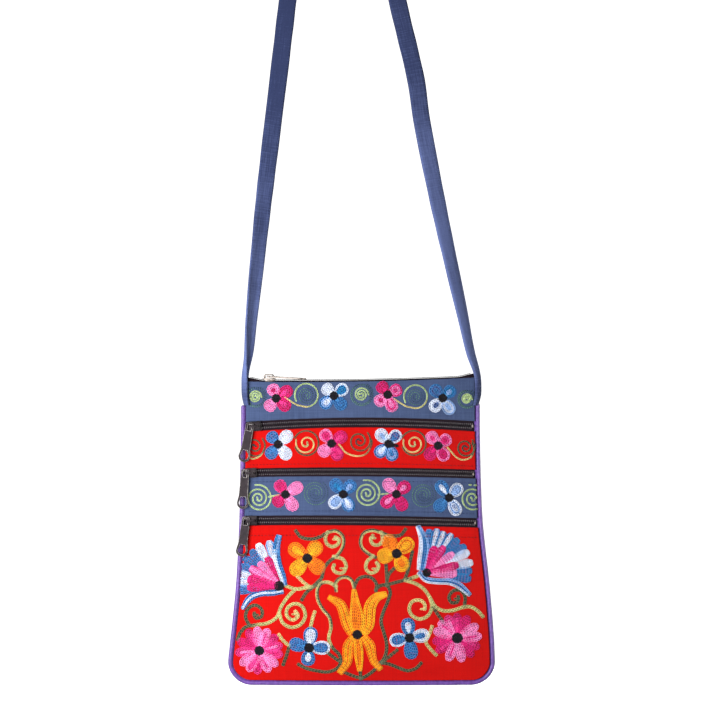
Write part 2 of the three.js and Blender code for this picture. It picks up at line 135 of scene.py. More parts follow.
# %% Arithmetic on node outputs
class Wire:
    def __init__(self, tree, socket=None):
        self.tree = tree
        self.socket = socket

    def join(self, value, socket):
        if isinstance(value, Wire):
            self.tree.links.new(value.socket, socket)
        else:
            socket.default_value = value

    def node(self, kind, inputs=(), out=0, **settings):
        made = self.tree.nodes.new(kind)
        for name, value in settings.items():
            setattr(made, name, value)
        for name, value in dict(inputs).items():
            self.join(value, made.inputs[name])
        return Wire(self.tree, made.outputs[out])

    def maths(self, operation, first, second=0.0):
        return self.node("ShaderNodeMath", {0: first, 1: second}, operation=operation)

    def __add__(self, other):
        return self.maths("ADD", self, other)

    def __sub__(self, other):
        return self.maths("SUBTRACT", self, other)

    def __rsub__(self, other):
        return self.maths("SUBTRACT", other, self)

    def __mul__(self, other):
        return self.maths("MULTIPLY", self, other)

    __radd__ = __add__
    __rmul__ = __mul__

    def sine(self):
        return self.maths("SINE", self)

    def between(self, low, high):
        return self.node("ShaderNodeMapRange", {0: self, 1: low, 2: high})

    def blend(self, first, second):
        first, second = (linear(c) if isinstance(c, str) else c for c in (first, second))
        return self.node("ShaderNodeMix", {0: self, 6: first, 7: second}, out=2, data_type="RGBA")

    def vector(self, x, y, z):
        return self.node("ShaderNodeCombineXYZ", {0: x, 1: y, 2: z})

    def axis(self, number):
        return self.node("ShaderNodeSeparateXYZ", {0: self}, out=number)

    def noise(self, x, y, z, detail=2.0):
        spot = self.vector(x, y, z)
        return self.node("ShaderNodeTexNoise", {"Vector": spot, "Scale": 1.0, "Detail": detail})

    def specks(self, scale, detail=2.0):
        spot = self.node("ShaderNodeTexCoord", out=3)
        return self.node("ShaderNodeTexNoise", {"Vector": spot, "Scale": scale, "Detail": detail})

    def pattern(self):
        flat = self.node("ShaderNodeUVMap")
        return flat.axis(0), flat.axis(1)

    def mark(self, name):
        return self.node("ShaderNodeAttribute", out=2, attribute_name=name)

    def paint(self, label, value):
        shader = self.tree.nodes["Principled BSDF"]
        self.join(value, shader.inputs[label.replace("_", " ").title().replace("Ior", "IOR")])

    def bump(self, height, strength, distance):
        sizes = {"Height": height, "Strength": strength, "Distance": distance}
        self.paint("normal", self.node("ShaderNodeBump", sizes))


# %% [markdown]
# A finish starts from the standard shader. Colours are written as in a paint program, and turned
# into the linear values that a renderer counts with.

# %% New finishes
def linear(colour):
    parts = [int(colour[k:k + 2], 16) / 255 for k in (1, 3, 5)]
    return [p / 12.92 if p <= 0.04045 else ((p + 0.055) / 1.055) ** 2.4 for p in parts] + [1.0]


def new_finish(name, **constants):
    made = bpy.data.materials.new(name)
    made.use_nodes = True
    wire = Wire(made.node_tree)
    for label, value in constants.items():
        wire.paint(label, value)
    return made, wire


print("mid grey as a linear value:", round(linear("#808080")[0], 3))

# %% [markdown]
# The cloth is plain-woven cotton. Warp and weft cross about twice in a millimetre, and both are a
# little uneven, so the colour runs in faint streaks along each thread. The weave is read from each
# piece's own flat pattern (its UV map), so it turns with the cloth.

# %% Woven cotton
WEAVE = math.tau * 1800.0
STREAK_ACROSS, STREAK_ALONG, WORN_PATCH = 1100.0, 45.0, 22.0


def cotton(name, pale, deep, sheen=0.08, streak=0.9, painted_light=None):
    made, wire = new_finish(name, roughness=0.9, specular_ior_level=0.12, sheen_weight=sheen)
    across, along = wire.pattern()
    weave = (across * WEAVE).sine() * (along * WEAVE).sine()
    warp = wire.noise(across * STREAK_ACROSS, along * STREAK_ALONG, 3.0)
    weft = wire.noise(across * STREAK_ALONG, along * STREAK_ACROSS, 8.0)
    worn = wire.noise(across * WORN_PATCH, along * WORN_PATCH, 5.0, 3.0)
    tone = 0.5 + (warp - 0.5) * streak + (weft - 0.5) * streak + (worn - 0.5) * 0.8 + weave * 0.1
    # An optional function of the run along the cloth adds painted light and painted shade to the tone.
    if painted_light:
        tone = tone + painted_light(along)
    wire.paint("base_color", tone.between(0.0, 1.0).blend(deep, pale))
    wire.bump(weave * 0.5 + warp + weft, 0.35, 0.00025)
    return made


blue_cotton = cotton("slate_blue_cotton", "#4b5b80", "#354262")
red_cotton = cotton("red_cotton", "#cd0b05", "#b00503", sheen=0.0, streak=0.7)
print("cottons:", blue_cotton.name, red_cotton.name)

# %% [markdown]
# The pouch is two cloth walls sewn at the sides and bottom. A table gives its half width and how
# far each wall swells at several heights, and a smooth curve runs through the rows. Any point of
# the cloth comes from where it lies across the bag (-1 to 1) and how far down it is.

# %% The shape of the pouch
# down, half width, half thickness at the seam, swell of the front, swell of the back,
# arch of a level, its drop to the left, its shift to the right
POUCH = np.array([
    [0, 89.3, 2.3, 3.7, 2.8, -1.6, 3.2, 0],
    [33, 89.3, 2.1, 5.1, 4.0, 3.4, 0.4, 0],
    [74, 90.0, 2.1, 6.4, 5.0, 1.6, -1.0, 0],
    [112, 91.2, 2.1, 7.4, 5.6, 1.5, -1.8, 0.5],
    [160, 95.0, 2.1, 8.0, 6.0, 0.8, 0, 1.8],
    [200, 98.6, 2.1, 7.0, 5.4, 0, 0, 1.5],
    [222, 100.2, 2.1, 4.4, 3.6, -0.3, 0, 0.8],
    [236, 100.2, 2.1, 0.6, 0.6, -0.4, 0, 0.8],
])
MOUTH, BOTTOM, CORNER = -1.0, -236.0, 15.0
ZIPS = [("zip_1", -30.5, -38.2), ("zip_2", -69.9, -76.8), ("zip_3", -107.8, -115.2)]


def curve_through(knots, values, spots):
    knots, values, spots = (np.asarray(a, float) for a in (knots, values, spots))
    last = len(knots) - 1
    before = np.maximum(np.arange(last + 1) - 1, 0)
    after = np.minimum(np.arange(last + 1) + 1, last)
    slopes = (values[after] - values[before]) / (knots[after] - knots[before])[:, None]
    row = np.clip(np.searchsorted(knots, spots, side="left") - 1, 0, last - 1)
    span = (knots[row + 1] - knots[row])[..., None]
    share = (spots - knots[row])[..., None] / span
    step = values[row + 1] - values[row]
    into, out = slopes[row] * span, slopes[row + 1] * span
    cubed = into + out - 2 * step
    squared = 3 * step - 2 * into - out
    return values[row] + share * (into + share * (squared + share * cubed))


def pouch(level):
    return np.moveaxis(curve_through(POUCH[:, 0], POUCH[:, 1:], -np.asarray(level, float)), -1, 0)


def half_width(level):
    into = np.clip(BOTTOM + CORNER - level, 0, CORNER)
    return pouch(level)[0] - CORNER + np.sqrt(CORNER ** 2 - into ** 2)


def level_line(u, level):
    arch, tilt, shift = pouch(level)[4:]
    return shift + u * half_width(level), level - arch * u * u - tilt * (1 - u) / 2


print("half width at the mouth and at mid height, mm:", np.round(half_width(np.array([MOUTH, -120.0])), 1))

# %% [markdown]
# Real cloth is never quite smooth. It is drawn up a little along each zip, where it was sewn, and
# it has slow, shallow waves everywhere. Sums of sines give the same ripples every time.

# %% Ripples in the cloth
FRONT, BACK = -1, 1
ZIP_EDGES = [edge for _, top, bottom in ZIPS for edge in (top, bottom)]
# height of a wave, how fast it runs along x and along z, where it starts, how far it meanders
WAVES = [(0.26, 0.061, 0.047, 1.0, 0), (0.2, -0.038, 0.083, 2.1, 0), (0.11, 0.15, 0.05, 0.5, 0.7)]
PUCKER, PUCKER_REACH, FADE = 0.15, 4.5, 12


def unit(vectors):
    return vectors / np.linalg.norm(vectors, axis=-1, keepdims=True)


def ripple(x, z):
    height = 0.0
    for tall, along, down, start, meander in WAVES:
        height = height + tall * np.sin(along * x + down * z + start + meander * np.sin(0.06 * z))
    for k, edge in enumerate(ZIP_EDGES):
        near = np.exp(-np.abs(z - edge) / PUCKER_REACH)
        height = height + PUCKER * near * np.sin(0.78 * x + 1.7 * k + 0.9 * np.sin(0.09 * x + k))
    return height


def cloth(side, u, level):
    seam, belly, back = pouch(level)[1:4]
    x, z = level_line(u, level)
    swell = (belly if side == FRONT else back) * (1 - u * u)
    fade = np.clip((1 - np.abs(u)) * FADE, 0, 1) * np.clip((level - BOTTOM) / FADE, 0, 1)
    return np.stack([x, side * (seam + swell + fade * ripple(x, z * -side)), z], -1)


def skin(side, u, level):
    along = cloth(side, u + 0.002, level) - cloth(side, u - 0.002, level)
    down = cloth(side, u, level - 0.1) - cloth(side, u, level + 0.1)
    out = unit(np.cross(along, down))
    return cloth(side, u, level), out * np.where(out[..., 1:2] * side < 0, -1, 1)


print("front at mid height, mm:", np.round(cloth(FRONT, np.zeros(1), np.full(1, -120.0))[0], 2))

# %% [markdown]
# A strip is cut from the wall between two heights. Its edges are folded under, so the outer face
# rolls down over the last millimetre, beside the zips and beside the side seams.

# %% Cloth strips, main panel and back
CLOTH, FOLD = 1.0, 0.85
HALF_FLAT, FLAT_WIDE, BACK_TALL = 90, 0.19, 0.235
TO_EDGE = np.array([0, 0.06, 0.2, 0.45, 0.85, 1.3])


def roll(gap):
    into = FOLD - np.clip(gap, 0, FOLD)
    return FOLD - np.sqrt(np.maximum(FOLD ** 2 - into ** 2, 0))


def spread_to_edges(low, high, step):
    count = max(int((high - low) / step), 4)
    return np.concatenate([low + TO_EDGE, np.linspace(low + 2, high - 2, count), high - TO_EDGE[::-1]])


def strip_levels(top, bottom):
    if bottom > BOTTOM + 1:
        return spread_to_edges(bottom, top, 1.3)[::-1]
    turn = np.linspace(0, math.pi / 2, 26)[1:]
    straight = spread_to_edges(BOTTOM + CORNER, top, 1.6)[len(TO_EDGE):][::-1]
    return np.concatenate([straight, BOTTOM + CORNER * (1 - np.sin(turn))])


def cloth_strip(side, top, bottom):
    across = spread_to_edges(-HALF_FLAT, HALF_FLAT, 1.5) / HALF_FLAT
    u, level = np.meshgrid(across, strip_levels(top, bottom))
    point, out = skin(side, u, level)
    gap = np.minimum(np.minimum(top - level, level - bottom), (1 - np.abs(u)) * HALF_FLAT)
    outer = point - out * roll(gap)[..., None]
    inner = point - out * (CLOTH + 0.02)
    return sheet_mesh(outer, inner, point[..., [0, 2]])


EDGES = [MOUTH] + ZIP_EDGES + [BOTTOM]
STRIPS = zip(("top_band", "red_band", "blue_band", "main_panel"), EDGES[0::2], EDGES[1::2])
for name, top, bottom in STRIPS:
    is_red = name in ("red_band", "main_panel")
    finish, slot = (red_cotton, "red_cloth") if is_red else (blue_cotton, "blue_cloth")
    mesh = cloth_strip(FRONT, top, bottom)
    strip = add_piece(f"{name}_cloth", mesh, finish, replaces=[name])
    (top - bottom) * MM
mesh = cloth_strip(BACK, MOUTH, BOTTOM)
back = add_piece("back_cloth", mesh, blue_cotton, replaces=["back_panel"])

# %% [markdown]
# The piping is a thin cord in a purple satin cover, caught in the side and bottom seams. Its
# cover runs on into the seam as a narrow tail, which closes the gap between the two walls.

# %% Piping
PIPING_RADIUS, PIPING_TOP, PIPING_CLEAR = 1.7, -18.1, 0.5
TAIL_REACH, TAIL_DEPTH, END_ROUND, END_SIZE = 1.9, 0.25, 1.5, 0.45


def run_of(line):
    return np.concatenate([[0], np.cumsum(np.linalg.norm(np.diff(line, axis=0), axis=1))])


def beside(line):
    ahead = unit(np.gradient(line, axis=0))
    return np.stack([-ahead[:, 1], ahead[:, 0]], -1)


def piping_path():
    turn = np.linspace(0, math.pi / 2, 22)[1:]
    end = PIPING_TOP - np.array([0, 0.1, 0.35, 0.8, 1.4])
    straight = np.linspace(PIPING_TOP - 2, BOTTOM + CORNER, 90)
    side = np.concatenate([end, straight, BOTTOM + CORNER * (1 - np.sin(turn))])
    left = np.stack(level_line(-1.0, side), -1)
    right = np.stack(level_line(1.0, side[::-1]), -1)
    across = np.linspace(-1, 1, 90)[1:-1]
    bottom = np.stack(level_line(across, np.full_like(across, BOTTOM)), -1)
    return np.concatenate([left, bottom, right])


def satin(name, pale, deep):
    made, wire = new_finish(name, roughness=0.42, specular_ior_level=0.45, sheen_weight=0.2)
    around, along = wire.pattern()
    gather = wire.noise(around * 300.0, along * 420.0, 2.0, 3.0)
    wire.paint("base_color", gather.between(0.3, 0.7).blend(deep, pale))
    wire.bump(gather, 0.3, 0.0006)
    return made


seam = piping_path()
run = run_of(seam)
turns = np.linspace(0, math.tau, 18, endpoint=False)
in_tail = np.abs(turns - math.pi) < 0.2
reach = np.where(in_tail, TAIL_REACH, 1.0) * np.cos(turns)
depth = np.where(in_tail, TAIL_DEPTH, 1.0) * np.sin(turns)
plump = PIPING_RADIUS * (1 + 0.02 * np.sin(run / 3.1 + np.sin(run / 7.7)))
into_end = 1 - np.clip(np.minimum(run, run[-1] - run) / END_ROUND, 0, 1)
plump *= END_SIZE + (1 - END_SIZE) * np.sqrt(1 - into_end ** 2)
out = PIPING_RADIUS + PIPING_CLEAR + reach * plump[:, None]
flat = seam[:, None] - beside(seam)[:, None] * out[..., None]
rings = np.insert(flat, 1, depth * PIPING_RADIUS, axis=-1)
mesh = tube_mesh(rings, turns * PIPING_RADIUS, run)
purple_satin = satin("purple_satin", "#6f49a2", "#50327f")
add_piece("piping_cord", mesh, purple_satin, replaces=["piping"])
print("piping length, mm:", round(float(run[-1])))

# %% [markdown]
# The strap is a tube of the blue cloth pressed flat. Low down it is curled round the side seam
# like a gutter, and higher up it opens out flat; a table gives how it faces and how far it curls.

# %% The run of the strap
PEG_RADIUS, PEG_LEVEL, PEG_RIGHT, PEG_LEFT = 9.0, 545.0, -21.6, -27.3
# height, right x, right facing, left x, left facing, curl
STRANDS = [
    [-21.4, 91.2, 0, -90.2, 180, 165],
    [-10, 91.8, 0, -90.3, 180, 165],
    [3, 91.0, -4, -90.2, 176, 155],
    [20, 86.6, -26, -88.0, 156, 110],
    [45, 81.2, -40, -85.8, 142, 70],
    [90, 70.8, -52, -81.0, 128, 35],
    [139, 59.9, -64, -75.6, 116, 12],
    [200, 47.8, -76, -68.3, 104, 3],
    [233, 43.0, -82, -64.3, 98, 0],
    [295, 28.5, -88, -57.0, 92, 0],
    [420, 3.4, -90, -42.1, 90, 0],
]


def strap_rows():
    rows = []
    for z, x, facing, _, _, curl in STRANDS:
        rows.append([x, -PEG_RADIUS * z / PEG_LEVEL, z, facing, 0, curl])
    for share in np.linspace(0, 1, 6):
        turn = math.pi * share
        x = PEG_RIGHT + (PEG_LEFT - PEG_RIGHT) * share
        z = PEG_LEVEL + PEG_RADIUS * math.sin(turn)
        facing = -90 if share < 0.5 else 90
        rows.append([x, -PEG_RADIUS * math.cos(turn), z, facing, 180 * min(share, 1 - share), 0])
    for z, _, _, x, facing, curl in reversed(STRANDS):
        rows.append([x, PEG_RADIUS * z / PEG_LEVEL, z, facing, 0, curl])
    return np.array(rows, float)


rows = strap_rows()
facing, tip = np.radians(rows[:, 3]), np.radians(rows[:, 4])
face = np.stack([np.cos(tip) * np.cos(facing), np.cos(tip) * np.sin(facing), np.sin(tip)], -1)
strap_run = run_of(rows[:, :3])
strap_long = strap_run[-1]
stations = np.unique(np.concatenate([np.linspace(0, strap_long, 420), [1, 2.5, strap_long - 1]]))
table = np.concatenate([rows[:, :3], face, rows[:, 5:]], 1)
along = curve_through(strap_run, table, stations)
middle_line, face, curl = along[:, :3], along[:, 3:6], np.maximum(np.radians(along[:, 6]), 0.02)
ahead = unit(np.gradient(middle_line, stations, axis=0))
face = unit(face - ahead * np.sum(face * ahead, 1, keepdims=True))
wide = np.cross(ahead, face)
print("strap length, mm:", round(float(strap_long)))

# %% [markdown]
# Across, the strap is a flat oval bent along an arc by its curl. It creases where it is curled
# and narrows at its sewn ends. Its colour carries painted light and painted shade in stretches
# along it: painted palest a little above the side seams and painted darker elsewhere, standing in
# for how the light falls on its twisted faces.

# %% Strap
STRAP_WIDE, STRAP_THICK = 14.0, 2.2
CREASE, END_REACH, END_NARROW, END_SINK = 0.2, 12, 0.15, 1.9
# from and to in metres along the strap, and how much paler (painted light) or darker (painted shade, below
# zero) it is painted between them
STRAP_PAINTED_LIGHT = [(0.012, 0.035, 0.8), (0.14, 0.27, -1.0), (0.28, 0.6, -0.2),
               (0.9, 1.0, 0.4), (1.04, 1.12, 0.7), (1.148, 1.168, -0.7)]


# Painted light and painted shade along the strap, from the table above, on a base of painted shade.
def strap_painted_light(along):
    return sum((along.between(low, high) * paler for low, high, paler in STRAP_PAINTED_LIGHT), -0.25)


half = np.linspace(-1, 1, 15)
side = np.sign(half) * np.abs(half) ** 0.8
bulge = np.sqrt(np.maximum(1 - np.abs(side) ** 6, 0))
section = np.concatenate([side, side[-2:0:-1]])
lift = np.concatenate([bulge, -bulge[-2:0:-1]])
crease = CREASE * np.sin(section * 5.2 + 0.9 * np.sin(stations / 37)[:, None])
crease = crease * np.clip(curl / 1.4, 0.15, 1)[:, None]
wavy = 1 + 0.012 * np.sin(stations / 6.3 + 2 * np.sin(stations / 23))
near_end = np.clip(1 - np.minimum(stations, strap_long - stations) / END_REACH, 0, 1) ** 2
radius = STRAP_WIDE / curl
middle = radius * np.sin(curl / 2) / (curl / 2)
angle = section * 0.5 * (wavy * (1 - END_NARROW * near_end) * curl)[:, None]
arm = radius[:, None] + lift * STRAP_THICK / 2 + crease * np.abs(lift)
over = arm * np.sin(angle)
up = arm * np.cos(angle) - (middle + END_SINK * near_end)[:, None]
rings = middle_line[:, None] + wide[:, None] * over[..., None] + face[:, None] * up[..., None]
mesh = tube_mesh(rings, section * STRAP_WIDE / 2, stations)
# The strap is the same blue cloth; its paler top colour and the tones along it carry painted light and
# painted shade.
strap_cotton_painted_light = cotton("strap_cotton_painted_light", "#6674a8", "#353f66", streak=1.0, painted_light=strap_painted_light)
strap = add_piece("strap_cloth", mesh, strap_cotton_painted_light, replaces=["strap"])

# %% [markdown]
# A zip is a woven tape with a nylon coil sewn along its middle. The tape is wider than the slit it
# closes: its margins lie hidden under the folded edges of the strips.

# %% Zip tapes
TAPE_DEPTH, TAPE_THICK, TAPE_MARGIN, TAPE_LONG = 1.1, 0.6, 4.5, 0.178
TWILL = math.tau * 900.0


def tape_finish():
    made, wire = new_finish("zip_tape_twill", roughness=0.8, specular_ior_level=0.15)
    across, along = wire.pattern()
    twill = ((across + along) * TWILL).sine() * 0.5 + 0.5
    dust = wire.noise(across * 700.0, along * 700.0, 1.0, 3.0)
    tone = (twill * 0.5 + dust * 0.5).between(0.2, 0.8)
    wire.paint("base_color", tone.blend("#110710", "#1e0f1a"))
    wire.bump(twill, 0.4, 0.0002)
    return made


def front_tape(u, level):
    point, out = skin(FRONT, u, level)
    return point - out * TAPE_DEPTH, out


def tape_mesh(face_of, us, vs):
    point, out = face_of(*np.meshgrid(us, vs))
    flat = np.stack([point[..., 0], point[..., 2] + point[..., 1]], -1)
    return sheet_mesh(point, point - out * TAPE_THICK, flat)


tape_twill = tape_finish()
for name, top, bottom in ZIPS:
    levels = np.linspace(top + TAPE_MARGIN, bottom - TAPE_MARGIN, 18)
    mesh = tape_mesh(front_tape, np.linspace(-0.985, 0.985, 120), levels)
    tape = add_piece(f"{name}_tape_cloth", mesh, tape_twill, replaces=[f"{name}_tape"])
    tape_wide = top - bottom + 2 * TAPE_MARGIN
    tape_wide * MM

# %% [markdown]
# The zip of the mouth lies flat between the two walls. Its two ends are drawn up at the seams.

# %% Mouth zip tape
TAPE_INSET, TAPE_BELOW, TAPE_CROWN, TAPE_RISE, RISE_FROM = 1.35, 0.6, 1.6, 2.2, 0.84


def mouth_tape(u, v):
    mouth = np.full_like(u, MOUTH)
    seam, belly, back_swell = pouch(mouth)[1:4]
    x, edge = level_line(u, mouth)
    reach = seam - TAPE_INSET + np.where(v < 0, belly, back_swell) * (1 - u * u)
    ease = np.clip((np.abs(u) - RISE_FROM) / (1 - RISE_FROM), 0, 1)
    rise = TAPE_RISE * ease * ease * (3 - 2 * ease)
    z = edge - TAPE_BELOW + (TAPE_CROWN + rise) * (1 - v ** 4)
    point = np.stack([x, v * reach, z], -1)
    return point, np.broadcast_to([0.0, 0.0, 1.0], point.shape)


mesh = tape_mesh(mouth_tape, np.linspace(-0.99, 0.998, 120), np.linspace(-1, 1, 13))
mouth = add_piece("top_zip_tape_cloth", mesh, tape_twill, replaces=["top_zip_tape"])

# %% [markdown]
# What repeats is left to geometry nodes. A line is laid along the middle of each zip; the tree
# walks along it and sets two loops of the coil at every step, one on each side, half a step apart.
# The same few lines of code run every tree and keep the plain mesh that comes out of it.

# %% Lines that a node tree can walk along
def line_object(lines, outs, colours=None):
    edges, first = [], 0
    for line in lines:
        edges += [(first + k, first + k + 1) for k in range(len(line) - 1)]
        first += len(line)
    mesh = bpy.data.meshes.new("lines")
    mesh.from_pydata(place(np.concatenate(lines)).tolist(), edges, [])
    out = mesh.attributes.new("out", "FLOAT_VECTOR", "POINT")
    out.data.foreach_set("vector", np.concatenate(outs).ravel())
    if colours is not None:
        thread = mesh.attributes.new("thread", "FLOAT_COLOR", "POINT")
        thread.data.foreach_set("color", np.concatenate(colours).ravel())
    return show("lines", mesh)


def walk(tree, lines, material, **sizes):
    steps = lines.modifiers.new("walk", "NODES")
    steps.node_group = tree
    given = dict(sizes, Material=material)
    for item in tree.interface.items_tree:
        if item.in_out == "INPUT" and item.name in given:
            steps[item.identifier] = given[item.name]
    bpy.context.view_layer.update()
    walked = lines.evaluated_get(bpy.context.evaluated_depsgraph_get())
    mesh = bpy.data.meshes.new_from_object(walked)
    lines.modifiers.remove(steps)
    bpy.data.objects.remove(lines)
    return mesh


# %% [markdown]
# Every tree begins and ends alike. It takes named sizes and a material, cuts the line into steps of
# one length, and turns what it sets there to face along the line and out from the cloth.

# %% The two ends of a node tree
def new_tree(name, sizes):
    tree = bpy.data.node_groups.new(name, "GeometryNodeTree")
    sockets = [("Geometry", "Geometry")] + [(size, "Float") for size in sizes] + [("Material", "Material")]
    for label, kind in sockets:
        tree.interface.new_socket(label, in_out="INPUT", socket_type=f"NodeSocket{kind}")
    tree.interface.new_socket("Geometry", in_out="OUTPUT", socket_type="NodeSocketGeometry")
    entry = tree.nodes.new("NodeGroupInput")
    return Wire(tree), {socket.name: Wire(tree, socket) for socket in entry.outputs if socket.name}


def steps_along(wire, given, length):
    path = wire.node("GeometryNodeMeshToCurve", {"Mesh": given["Geometry"]})
    path = wire.node("GeometryNodeResampleCurve", {"Curve": path, "Length": length}, mode="LENGTH")
    out = wire.node("GeometryNodeInputNamedAttribute", {"Name": "out"}, data_type="FLOAT_VECTOR")
    axes = {"Primary Axis": wire.node("GeometryNodeInputTangent"), "Secondary Axis": out}
    turn = wire.node("FunctionNodeAxesToRotation", axes, primary_axis="X", secondary_axis="Z")
    return path, turn


def set_on(wire, points, shape, turn):
    inputs = {"Points": points, "Instance": shape, "Rotation": turn}
    return wire.node("GeometryNodeInstanceOnPoints", inputs)


def joined(wire, *parts):
    both = wire.tree.nodes.new("GeometryNodeJoinGeometry")
    for part in parts:
        wire.join(part, both.inputs[0])
    return Wire(wire.tree, both.outputs[0])


def store(geometry, name, value, domain="POINT"):
    inputs = {"Geometry": geometry, "Name": name, "Value": value}
    return geometry.node("GeometryNodeStoreNamedAttribute", inputs, data_type="FLOAT", domain=domain)


def close_tree(wire, geometry, given):
    whole = wire.node("GeometryNodeRealizeInstances", {"Geometry": geometry})
    dressed = wire.node("GeometryNodeSetMaterial", {"Geometry": whole, "Material": given["Material"]})
    wire.join(dressed, wire.tree.nodes.new("NodeGroupOutput").inputs[0])
    return wire.tree


# %% [markdown]
# A coil loop is a long bead that leans a little. Its outer end, where the nylon turns back, catches
# the light, so that end is marked and takes a paler colour on the front zips.

# %% Coil loops
COIL_SIZES = {"Pitch": 1.5 * MM, "Reach": 2.1 * MM, "Loop": 0.38 * MM, "Ridge": 0.45 * MM}
COIL_LEAN, COIL_LIFT = -0.16, 0.1


def coil_tree():
    wire, given = new_tree("coil_loops", COIL_SIZES)
    path, turn = steps_along(wire, given, given["Pitch"])
    ball = wire.node("GeometryNodeMeshUVSphere", {"Segments": 8, "Rings": 5, "Radius": 1.0})
    y = wire.node("GeometryNodeInputPosition").axis(1)
    size = wire.vector(given["Loop"], given["Reach"] * 0.5, given["Loop"])
    loops = []
    for way in (-1.0, 1.0):
        tipped = store(ball, "tip", (y * way).between(0.35, 0.75))
        spot = wire.vector(given["Pitch"] * (0.25 * way), given["Reach"] * (0.52 * way), given["Ridge"])
        inputs = {"Geometry": tipped, "Translation": spot, "Scale": size,
                  "Rotation": (0.0, 0.0, COIL_LEAN * way)}
        loops.append(wire.node("GeometryNodeTransform", inputs))
    return close_tree(wire, set_on(wire, path, joined(wire, *loops), turn), given)


def nylon_finish(name, tips):
    made, wire = new_finish(name, roughness=0.32, specular_ior_level=0.45)
    dust = wire.specks(900.0)
    dark = dust.between(0.3, 0.7).blend("#0f0b11", "#19131b")
    wire.paint("base_color", wire.mark("tip").blend(dark, tips))
    wire.paint("roughness", dust * 0.25 + 0.22)
    return made


def add_coil(name, line, outs, finish):
    mesh = walk(coil_loops, line_object([line], [outs]), finish, **COIL_SIZES)
    add_piece(f"{name}_coil_loops", mesh, finish, replaces=[f"{name}_coil"])


coil_loops = coil_tree()
nylon = nylon_finish("nylon_coil", "#b0a6ac")
for name, top, bottom in ZIPS:
    u = np.linspace(-0.985, 0.97, 160)
    point, out = skin(FRONT, u, np.full_like(u, (top + bottom) / 2))
    add_coil(name, point - out * (TAPE_DEPTH - COIL_LIFT), out, nylon)
u = np.linspace(-0.955, 0.955, 160)
point, out = mouth_tape(u, np.zeros_like(u))
add_coil("top_zip", point + out * COIL_LIFT, out, nylon_finish("dark_nylon_coil", "#1c161d"))

# %% [markdown]
# Sliders and pulls are die-cast metal with a dark plating. Their solids are copied, the corners are
# rounded off, and the new narrow faces are marked as worn: they take a pale colour that is partly
# plating worn bright and partly a painted highlight along the edges.

# %% Sliders and pulls
# How pale the marked edges and rims are painted: partly wear, partly a painted highlight.
EDGE_ROUND, RIM_WIDE, RIM_WEAR_AND_HIGHLIGHT = 0.25 * MM, 0.3 * MM, 0.35
PULL_WEAR_AND_HIGHLIGHT, SLIDER_WEAR_AND_HIGHLIGHT = 0.9, 0.5


def metal_finish(name, dark, pale, rubbed_and_highlight):
    made, wire = new_finish(name, metallic=0.85, specular_ior_level=0.2)
    scuff = wire.specks(420.0, 4.0)
    # The worn mark gives a pale colour that is partly worn plating and partly a painted highlight along
    # the edges.
    bright = (wire.mark("worn") * (scuff * 1.6 + 0.1)).between(0.2, 1.0)
    plating = scuff.between(0.3, 0.7).blend(dark, pale)
    wire.paint("base_color", bright.blend(plating, rubbed_and_highlight))
    wire.paint("roughness", scuff * 0.25 + 0.25)
    wire.bump(scuff, 0.15, 0.0002)
    return made


def mesh_of(shape, name):
    mesh = bpy.data.meshes.new(name)
    shape.to_mesh(mesh)
    shape.free()
    return mesh


def rounded_copy(node, has_rim, wear_and_highlight):
    shape = bmesh.new()
    shape.from_mesh(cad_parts[node].data)
    bmesh.ops.remove_doubles(shape, verts=shape.verts, dist=1e-5)
    bmesh.ops.dissolve_limit(shape, angle_limit=math.radians(2), verts=shape.verts, edges=shape.edges)
    # Edge faces, and the rim round a pull's broad faces, are marked for a pale colour: partly wear, partly
    # a painted highlight.
    mark = shape.faces.layers.float.new("worn")
    if has_rim:
        broad = max(shape.faces, key=lambda face: face.calc_area()).normal.copy()
        flat = [face for face in shape.faces if abs(face.normal.dot(broad)) > 0.98]
        rim = bmesh.ops.inset_region(shape, faces=flat, thickness=RIM_WIDE, use_even_offset=True)
        for face in rim["faces"]:
            face[mark] = RIM_WEAR_AND_HIGHLIGHT * wear_and_highlight
    sharp = [e for e in shape.edges if e.is_manifold and e.calc_face_angle() > math.radians(35)]
    cut = bmesh.ops.bevel(shape, geom=sharp, offset=EDGE_ROUND, segments=2, profile=0.5,
                          affect="EDGES", clamp_overlap=True)
    for face in cut["faces"]:
        face[mark] = wear_and_highlight
    bmesh.ops.triangulate(shape, faces=[f for f in shape.faces if len(f.verts) > 4])
    bmesh.ops.recalc_face_normals(shape, faces=shape.faces)
    return mesh_of(shape, node)


gunmetal = metal_finish("gunmetal_worn_and_highlit", "#110e10", "#1f1a1d", "#b0aba9")
nickel = metal_finish("dull_nickel", "#655e59", "#958c85", "#e6e0da")
for zip_name in ("zip_1", "zip_2", "zip_3", "top_zip"):
    metal = nickel if zip_name == "top_zip" else gunmetal
    for kind, body, wear_and_highlight in (("slider", "bag", SLIDER_WEAR_AND_HIGHLIGHT), ("pull", f"{zip_name}_tab", PULL_WEAR_AND_HIGHLIGHT)):
        node = f"{zip_name}_{kind}"
        mesh = rounded_copy(node, kind == "pull", wear_and_highlight)
        made = add_piece(f"{node}_metal", mesh, metal, body, [node])
        made.data.set_sharp_from_angle(angle=math.radians(50))

# %% [markdown]
# At its closed end each front zip has a stop, a bent scrap of metal clenched over both rows.

